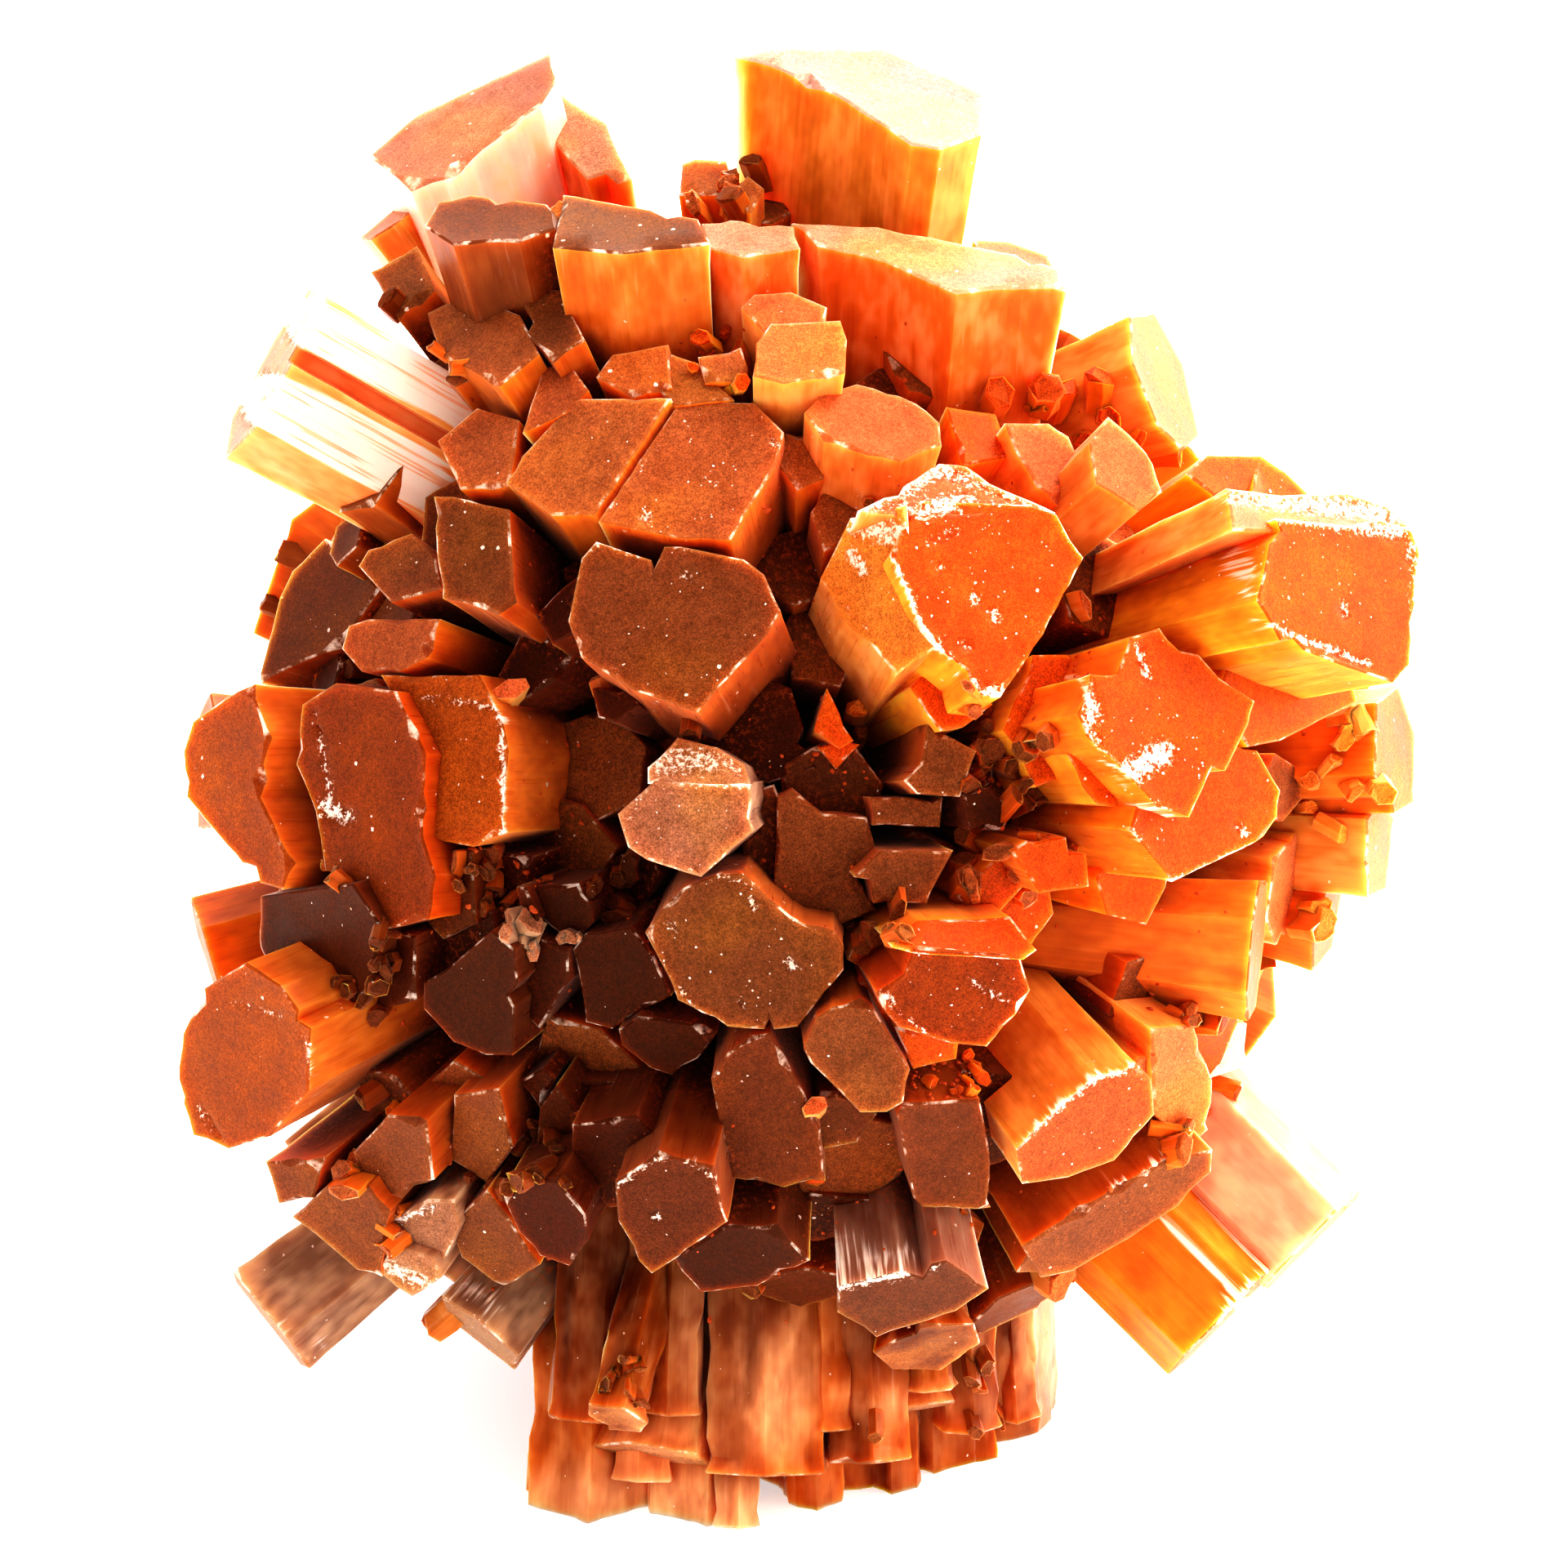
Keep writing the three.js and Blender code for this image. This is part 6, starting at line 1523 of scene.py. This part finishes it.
class Finish:
    """A material's node tree, with short ways to add the nodes it needs"""

    def __init__(self, name):
        self.material = bpy.data.materials.new(name)
        self.material.use_nodes = True
        self.tree = self.material.node_tree
        self.tree.nodes.clear()
        self.shader = self.node("ShaderNodeBsdfPrincipled")
        output = self.node("ShaderNodeOutputMaterial")
        self.tree.links.new(self.shader.outputs[0], output.inputs["Surface"])

    def node(self, kind, inputs=None, **choices):
        made = self.tree.nodes.new(kind)
        for name, value in choices.items():
            setattr(made, name, value)
        for key, value in (inputs or {}).items():
            self.put(made.inputs[key], value)
        return made

    def put(self, socket, value):
        if isinstance(value, bpy.types.NodeSocket):
            self.tree.links.new(value, socket)
        else:
            socket.default_value = value

    def attribute(self, name, output):
        return self.node("ShaderNodeAttribute", attribute_name=name).outputs[output]

    def maths(self, operation, *values):
        made = self.node("ShaderNodeMath", operation=operation)
        for socket, value in zip(made.inputs, values):
            self.put(socket, value)
        return made.outputs[0]

    def span(self, value, low, high, to_low=0.0, to_high=1.0, smooth=False):
        kind = "SMOOTHSTEP" if smooth else "LINEAR"
        made = self.node("ShaderNodeMapRange", interpolation_type=kind, inputs={
            "Value": value, "From Min": low, "From Max": high, "To Min": to_low, "To Max": to_high})
        return made.outputs[0]

    def stretch(self, vector, scale):
        made = self.node("ShaderNodeVectorMath", operation="MULTIPLY", inputs={0: vector, 1: scale})
        return made.outputs[0]

    def place(self):
        """Place on the piece, in millimetres"""
        return self.stretch(self.node("ShaderNodeTexCoord").outputs["Object"], (1 / MM, 1 / MM, 1 / MM))

    def noise(self, vector, scale, detail, roughness):
        return self.node("ShaderNodeTexNoise", inputs={
            "Vector": vector, "Scale": scale, "Detail": detail, "Roughness": roughness}).outputs["Fac"]
    def blend(self, amount, first, second, kind="MIX"):
        made = self.node("ShaderNodeMix", data_type="RGBA", blend_type=kind, clamp_factor=True)
        self.put(made.inputs[0], amount)
        self.put(made.inputs[6], first)
        self.put(made.inputs[7], second)
        return made.outputs[2]

    def tint(self, colour, red, green, blue):
        factor = self.node("ShaderNodeCombineColor", inputs={"Red": red, "Green": green, "Blue": blue})
        return self.blend(1.0, colour, factor.outputs[0], "MULTIPLY")

    def mottle(self, colour, source, reach, *factors):
        """Makes a colour's red, green and blue go from a low to a high factor with a noise"""
        return self.tint(colour, *[self.span(source, *reach, *factor) for factor in factors])

    def lighter(self, colour, value):
        return self.node("ShaderNodeHueSaturation", inputs={"Value": value, "Color": colour}).outputs[0]

    def mix(self, amount, first, second):
        made = self.node("ShaderNodeMix", data_type="FLOAT", clamp_factor=True)
        self.put(made.inputs[0], amount)
        self.put(made.inputs[2], first)
        self.put(made.inputs[3], second)
        return made.outputs[0]

    def dress(self, values):
        """Sets or links the shader's own sockets"""
        for name, value in values.items():
            self.put(self.shader.inputs[name], value)
        return self.material


def rgba(colour):
    return (*colour, 1.0)


# What is the same all over the stone: light travels inside it, red the farthest
STONE_SHADER = {
    "Subsurface Weight": 0.95,
    "Subsurface Radius": (1.0, 0.75, 0.55),
    "Specular IOR Level": 0.22,
    "Specular Tint": (1.0, 0.66, 0.45, 1.0),
    "IOR": 1.58,
    "Sheen Weight": 0.15,
    "Sheen Roughness": 0.35,
    "Sheen Tint": (1.0, 0.88, 0.82, 1.0),
}
# Small crystals glow less deep than large ones, by this factor
SMALL_GLOW = 0.2

# Unevenness of colour: reach of the noise, then the factors of red, green and blue from low to high
FIBRE_COLOURS = ((0.35, 0.65), (0.95, 1.04), (0.92, 1.08), (0.88, 1.12))
SIDE_COLOURS = ((0.32, 0.68), (0.78, 1.08), (0.68, 1.18), (0.65, 1.2))
END_COLOURS = ((0.3, 0.7), (0.88, 1.12), (0.84, 1.16), (0.8, 1.25))
GRAIN_COLOURS = ((0.35, 0.65), (0.75, 1.1), (0.6, 1.2), (0.5, 1.3))
GLOWING_FACTORS = (1.35, 1.5, 0.8)

# How strongly each mark covers the stone
THREADS = 0.14
RIM_LEAK = 0.4
CLOUD_LEAK = 0.5
SPECKS = 0.8
WORN_GLINT_EDGES = 0.75
CRUSH_GLINT_COVER = 0.92
SHADE_COVER = 0.85
DUST = 0.5
# Gap depths between which the painted shade and the dust set in
SHADE_GAP = (0.46, 0.88)
DUST_GAP = (0.35, 0.6)
# Roughness: sides and ends from low to high, and duller on crush marks, painted highlights, painted gap
# shade and clay
SIDE_ROUGH = (0.26, 0.42)
END_ROUGH = (0.42, 0.6)
DULL_ROUGH = 0.65


def crystal_finish(settings, name, glow_depth):
    """Aragonite coloured by iron: satin ends, glossier striated sides, light travelling inside"""
    stone = Finish(name)
    tone = stone.attribute("tone", "Color")
    milk = stone.attribute("tone", "Alpha")
    marks = stone.node("ShaderNodeSeparateColor", inputs={0: stone.attribute("finish", "Color")})
    face, rim, white_tint = marks.outputs
    gap = stone.attribute("finish", "Alpha")
    grain = stone.attribute("grain", "Vector")
    place = stone.place()
    end = stone.span(face, 0.4, 0.6)
    lip = stone.maths("COMPARE", face, 0.5, 0.1)
    pale = rgba(settings.white_tint)

    cloud = stone.noise(place, 0.3, 1.0, 0.6)
    patch = stone.noise(stone.stretch(grain, (1.1, 1.1, 0.6)), 1.0, 2.0, 0.65)
    speckle = stone.noise(place, 20.0, 0.0, 0.6)
    fibre = stone.noise(stone.stretch(grain, (5.5, 5.5, 0.09)), 1.0, 2.0, 0.7)
    fray = stone.noise(place, 6.5, 2.0, 0.8)

    # Sides: long fine fibres, cloudy and clear zones, milky veils, a few pale threads
    side_tone = stone.mottle(tone, fibre, *FIBRE_COLOURS)
    side_tone = stone.mottle(side_tone, patch, *SIDE_COLOURS)
    side_tone = stone.blend(milk, side_tone, tone)
    veil = stone.maths("MULTIPLY", stone.span(patch, 0.45, 0.66, 0.0, 1.4), milk)
    side_tone = stone.blend(veil, side_tone, rgba(settings.veil))
    side_tone = stone.blend(stone.span(fibre, 0.66, 0.76, 0.0, THREADS), side_tone, pale)

    # Ends: a fine frosted grain, browner and more glowing areas, light leaking out along parts of the rim
    end_tone = stone.lighter(tone, stone.span(speckle, 0.3, 0.7, 0.74, 1.26))
    leak = stone.maths("MULTIPLY", rim, rim)
    leak = stone.maths("MULTIPLY", leak, stone.span(cloud, 0.42, 0.6, 0.0, RIM_LEAK))
    leak = stone.maths("MAXIMUM", leak, stone.span(cloud, 0.48, 0.7, 0.0, CLOUD_LEAK))
    end_tone = stone.blend(leak, end_tone, stone.tint(end_tone, *GLOWING_FACTORS))
    end_tone = stone.mottle(end_tone, patch, *END_COLOURS)
    end_tone = stone.lighter(end_tone, stone.span(fray, 0.32, 0.62, 0.80, 1.12))
    body = stone.blend(end, side_tone, end_tone)

    # Whitish specks of mixed size, over sides and ends
    cells = stone.node("ShaderNodeTexVoronoi", inputs={"Vector": place, "Scale": 2.1})
    lot = stone.node("ShaderNodeSeparateColor", inputs={0: cells.outputs["Color"]}).outputs[0]
    crowd = stone.span(cloud, 0.4, 0.62, 0.25, 1.3)
    size = stone.maths("MULTIPLY", stone.span(lot, 0.55, 1.0, 0.0, 0.13), crowd)
    away = stone.maths("ADD", cells.outputs["Distance"], stone.span(speckle, 0.3, 0.7, -0.03, 0.03))
    speck = stone.maths("MULTIPLY", stone.maths("LESS_THAN", away, size), SPECKS)
    body = stone.blend(speck, body, pale)

    # Whitish: worn edges with painted edge highlights, crush marks, and painted glints, glossy bands and
    # sheen
    worn_glint = stone.maths("ADD", patch, stone.maths("MULTIPLY", fray, 0.35))
    worn_glint = stone.maths("MULTIPLY", lip, stone.span(worn_glint, 0.70, 0.88, 0.0, WORN_GLINT_EDGES))
    body = stone.blend(worn_glint, body, pale)
    fringe = stone.mix(
        end, stone.span(fibre, 0.3, 0.7, -0.6, 0.2), stone.span(fray, 0.3, 0.7, -0.75, 0.45))
    ragged = stone.maths("ADD", white_tint, fringe)
    crush_glint = stone.span(ragged, 0.4, 0.9, 0.0, CRUSH_GLINT_COVER, smooth=True)
    crush_glint = stone.maths("MULTIPLY", crush_glint, stone.span(white_tint, 0.0, 0.15))
    combed = stone.mix(end, stone.span(fibre, 0.38, 0.43, 0.4, 1.0), 1.0)
    crush_glint = stone.maths("MULTIPLY", crush_glint, combed)
    body = stone.blend(crush_glint, body, pale)

    # Down in the gaps: painted shade, a dark red, and some dry clay
    gap_shaded = stone.span(gap, *SHADE_GAP, 0.0, SHADE_COVER, smooth=True)
    body = stone.blend(gap_shaded, body, rgba(settings.gap_shade))
    dusty = stone.maths("MULTIPLY", stone.span(gap, *DUST_GAP), stone.span(fray, 0.52, 0.64, 0.0, DUST))
    body = stone.blend(dusty, body, rgba(settings.clay))

    rough = stone.mix(
        end, stone.span(fibre, 0.35, 0.65, *SIDE_ROUGH), stone.span(patch, 0.3, 0.7, *END_ROUGH))
    dull = stone.maths("MAXIMUM", stone.maths("MAXIMUM", crush_glint, gap_shaded), dusty)
    stone.dress(STONE_SHADER)
    return stone.dress({
        "Base Color": body, "Roughness": stone.mix(dull, rough, DULL_ROUGH),
        "Subsurface Scale": glow_depth})


def grain_finish(name, colour):
    """Loose grains: dry, uneven in tone from grain to grain"""
    grain = Finish(name)
    place = grain.place()
    broad = grain.noise(place, 1.7, 2.0, 0.6)
    fine = grain.noise(place, 16.0, 2.0, 0.6)
    body = grain.mottle(rgba(colour), broad, *GRAIN_COLOURS)
    return grain.dress({
        "Base Color": grain.lighter(body, grain.span(fine, 0.3, 0.7, 0.8, 1.15)),
        "Roughness": grain.span(fine, 0.3, 0.7, 0.55, 0.85), "Specular IOR Level": 0.25})


def floor_finish(settings):
    """Plain pale floor with the faintest unevenness, that shines a little by itself"""
    cloth = Finish("pale_floor")
    uneven = cloth.noise(cloth.node("ShaderNodeTexCoord").outputs["Object"], 30.0, 3.0, 0.55)
    shade = cloth.span(uneven, 0.3, 0.7, 0.985, 1.0)
    return cloth.dress({
        "Base Color": cloth.tint(rgba(settings.floor), shade, shade, shade), "Roughness": 0.85,
        "Specular IOR Level": 0.2, "Emission Color": (1.0, 1.0, 1.0, 1.0),
        "Emission Strength": settings.floor_light})


# ---- Operators -------------------------------------------------------------------------------

# Edges flatter than this are shaded smooth
SMOOTH_BELOW = math.radians(24)
# Fewer than these means that a step went wrong
LEAST_VERTICES = 1000
LEAST_CRYSTALS = 50
LEAST_GRAINS = 20

# Soft lamps: name, place (m), width (m), power (W), colour; and the light from all round
LAMPS = (
    ("softbox_behind", (0.25, 0.65, 0.18), 0.60, 6.2, (1.0, 0.98, 0.95)),
    ("softbox_above", (0.30, 0.15, 0.60), 0.40, 3.5, (1.0, 0.98, 0.95)),
    ("softbox_right", (0.55, -0.05, 0.25), 0.30, 1.7, (1.0, 0.97, 0.93)),
)
AIR_LIGHT = 0.69
BOUNCES = {"max_bounces": 6, "diffuse_bounces": 3, "glossy_bounces": 2}
FLOOR_SIDES = 96
SENSOR_WIDTH = 36
NEAREST, FARTHEST = 0.05, 20


class ARAGONITE_OT_crystals(bpy.types.Operator):
    """Raises every crystal and grows them together into one closed piece"""

    bl_idname = "aragonite.crystals"
    bl_label = "Crystals"

    def execute(self, context):
        settings = context.scene.aragonite_crystals
        draw = np.random.default_rng(CRYSTAL_SEED)
        crystals = all_crystals(draw)
        pieces = [make_core(len(crystals))]
        for number, crystal in enumerate(crystals):
            pieces.append(raise_crystal(crystal, number, settings, draw))
        body = grow_together(pieces, "crystal_cluster")
        trim_at_floor(body)
        keep_outer_skin(body)
        only(body)
        bpy.ops.object.shade_smooth_by_angle(angle=SMOOTH_BELOW)
        dress_corners(body, crystals)
        body.data.materials.clear()
        finish = context.scene.aragonite_finish
        body.data.materials.append(crystal_finish(finish, "aragonite_stone", finish.glow_depth))
        if len(body.data.vertices) < LEAST_VERTICES:
            raise RuntimeError("the crystals did not grow together")
        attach(body, "root")
        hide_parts(NODE)
        return {"FINISHED"}


class ARAGONITE_OT_small_crystals(bpy.types.Operator):
    """Sets small crystals in the gaps between the large ones"""

    bl_idname = "aragonite.small_crystals"
    bl_label = "Small crystals"

    def execute(self, context):
        settings = context.scene.aragonite_small
        draw = np.random.default_rng(SMALL_SEED)
        body = bpy.data.objects["crystal_cluster"]
        tree, marks = skin_of(body)
        forms = small_crystal_forms()
        copies = []

        def set_down(spot, normal, index, low, spread, tone):
            long = (low + spread * draw.random()) * settings.scale * MM
            if marks[index, KIND] > 0.3 and marks[index, GAP] < OPEN_END:
                return
            outward = (spot - MIDDLE).normalized()
            way = (outward * 0.8 + normal * 0.5 + Vector(draw.normal(size=3)) * 0.35).normalized()
            size = (long * (0.7 + 0.5 * draw.random()), long * (0.7 + 0.5 * draw.random()), long)
            if fits(spot + way * long, long * 0.4):
                form = forms[int(draw.integers(len(forms)))]
                root = spot - way * long * CRYSTAL_SUNK
                copy = plant(form, root, turned(way, draw.random() * 6.28), size, draw)
                dress_small(copy, form, tone, size, len(copies), draw)
                copies.append(copy)

        for place, half, count, (low, high), tone in SMALL_ZONES:
            for spot, normal, index in seen_spots(tree, place, half, count, draw):
                set_down(spot, normal, index, low, high - low, tone)
        for spot, normal, index in scattered_spots(tree, settings.scattered, draw):
            tone = BACK_TONES[int(draw.integers(len(BACK_TONES)))]
            if marks[index, GAP] > CRYSTAL_GAP:
                set_down(spot, normal, index, BACK_SIZE, BACK_SIZE_SPREAD, DEEPER.get(tone, tone))
        if len(copies) < LEAST_CRYSTALS:
            raise RuntimeError("the small crystals found no gaps")
        piece = join_as(copies, "small_crystals")
        drop(*forms)
        finish = context.scene.aragonite_finish
        stone = crystal_finish(finish, "small_aragonite", finish.glow_depth * SMALL_GLOW)
        piece.data.materials.append(stone)
        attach(piece, "root")
        return {"FINISHED"}


class ARAGONITE_OT_grit(bpy.types.Operator):
    """Sprinkles white grit on the front ends and clay crumbs in the gaps"""

    bl_idname = "aragonite.grit"
    bl_label = "White grit and clay crumbs"

    def execute(self, context):
        finish = context.scene.aragonite_finish
        settings = context.scene.aragonite_small
        draw = np.random.default_rng(GRIT_SEED)
        tree, marks = skin_of(bpy.data.objects["crystal_cluster"])
        forms = grain_forms()
        white, clay = [], []

        def free_spots(found, channel, low, high=math.inf):
            return [row for row in found if low < marks[row[2], channel] < high]

        for place, half, count, size in WHITE_GRIT:
            found = seen_spots(tree, place, half, count, draw)
            white += sprinkle(forms, free_spots(found, GAP, -1, NO_WHITE_GAP), size, WHITE_SUNK, draw)
        found = free_spots(scattered_spots(tree, settings.scattered, draw), KIND, 0.7)
        white += sprinkle(forms, found[:BACK_WHITE_COUNT], BACK_WHITE_SIZE, WHITE_SUNK, draw)
        for place, half, count, size in CLAY_CRUMBS:
            found = seen_spots(tree, place, half, count, draw)
            clay += sprinkle(forms, free_spots(found, GAP, CLAY_GAP), size, CLAY_SUNK, draw)
        found = free_spots(scattered_spots(tree, settings.scattered, draw), GAP, BACK_CLAY_GAP)
        clay += sprinkle(forms, found, BACK_CLAY_SIZE, CLAY_SUNK, draw)
        pieces = ((white, "white_grit", finish.white_tint), (clay, "clay_crumbs", finish.clay))
        for copies, name, colour in pieces:
            if len(copies) < LEAST_GRAINS:
                raise RuntimeError(f"{name} found no place")
            piece = join_as(copies, name)
            piece.data.materials.append(grain_finish(name, colour))
            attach(piece, "root")
        drop(*forms)
        return {"FINISHED"}


class ARAGONITE_OT_stage(bpy.types.Operator):
    """Lays the pale floor and sets the soft lights and the camera"""

    bl_idname = "aragonite.stage"
    bl_label = "Floor, lights and camera"

    def execute(self, context):
        settings = context.scene.aragonite_stage
        bpy.ops.mesh.primitive_circle_add(
            vertices=FLOOR_SIDES, radius=settings.floor_radius, fill_type="NGON")
        floor = context.object
        floor.name = "floor"
        floor.data.materials.append(floor_finish(settings))

        for row in LAMPS:
            self.lamp(*row)

        world = bpy.data.worlds.new("studio_air")
        world.use_nodes = True
        air = world.node_tree.nodes["Background"]
        air.inputs["Color"].default_value = (1.0, 1.0, 1.0, 1.0)
        air.inputs["Strength"].default_value = AIR_LIGHT
        context.scene.world = world
        context.scene.view_settings.view_transform = "Standard"
        context.scene.view_settings.look = "Very High Contrast"
        for name, count in BOUNCES.items():
            setattr(context.scene.cycles, name, count)
        lens = bpy.data.cameras.new("camera")
        lens.sensor_width = SENSOR_WIDTH
        lens.lens = SENSOR_WIDTH * settings.view_distance / settings.view_width
        lens.clip_start = NEAREST
        lens.clip_end = FARTHEST
        camera = bpy.data.objects.new("camera", lens)
        context.scene.collection.objects.link(camera)
        camera.location = MIDDLE + TOWARD_EYE * settings.view_distance
        camera.rotation_euler = TOWARD_EYE.to_track_quat("Z", "Y").to_euler()
        context.scene.camera = camera
        return {"FINISHED"}

    def lamp(self, name, location, size, power, colour):
        light = bpy.data.lights.new(name, "AREA")
        light.shape = "DISK"
        light.size = size
        light.energy = power
        light.color = colour
        lamp = bpy.data.objects.new(name, light)
        bpy.context.scene.collection.objects.link(lamp)
        lamp.location = location
        lamp.rotation_euler = (Vector(location) - MIDDLE).to_track_quat("Z", "Y").to_euler()
        lamp.visible_camera = False


class ARAGONITE_PT_cluster(bpy.types.Panel):
    """Shows the cluster's settings and the buttons that build its pieces"""

    bl_label = "Aragonite cluster"
    bl_idname = "ARAGONITE_PT_cluster"
    bl_space_type = "VIEW_3D"
    bl_region_type = "UI"
    bl_category = "Aragonite"

    def draw(self, context):
        for settings, operators in PANEL_ROWS:
            group = getattr(context.scene, settings)
            box = self.layout.box()
            for name in group.bl_rna.properties.keys():
                if name not in ("rna_type", "name"):
                    box.prop(group, name)
            for operator in operators:
                box.operator(operator)


PANEL_ROWS = (
    ("aragonite_crystals", ("aragonite.crystals",)),
    ("aragonite_small", ("aragonite.small_crystals", "aragonite.grit")),
    ("aragonite_finish", ()),
    ("aragonite_stage", ("aragonite.stage",)),
)
SETTINGS = {
    "aragonite_crystals": CrystalSettings,
    "aragonite_small": SmallSettings,
    "aragonite_finish": FinishSettings,
    "aragonite_stage": StageSettings,
}
CLASSES = (
    CrystalSettings, SmallSettings, FinishSettings, StageSettings,
    ARAGONITE_OT_crystals, ARAGONITE_OT_small_crystals, ARAGONITE_OT_grit, ARAGONITE_OT_stage,
    ARAGONITE_PT_cluster,
)


def register():
    for item in CLASSES:
        bpy.utils.register_class(item)
    for name, group in SETTINGS.items():
        setattr(bpy.types.Scene, name, PointerProperty(type=group))


def unregister():
    for name in SETTINGS:
        delattr(bpy.types.Scene, name)
    for item in reversed(CLASSES):
        bpy.utils.unregister_class(item)


def main():
    register()
    bpy.ops.aragonite.stage()
    bpy.ops.aragonite.crystals()
    bpy.ops.aragonite.small_crystals()
    bpy.ops.aragonite.grit()


if __name__ == "__main__":
    main()
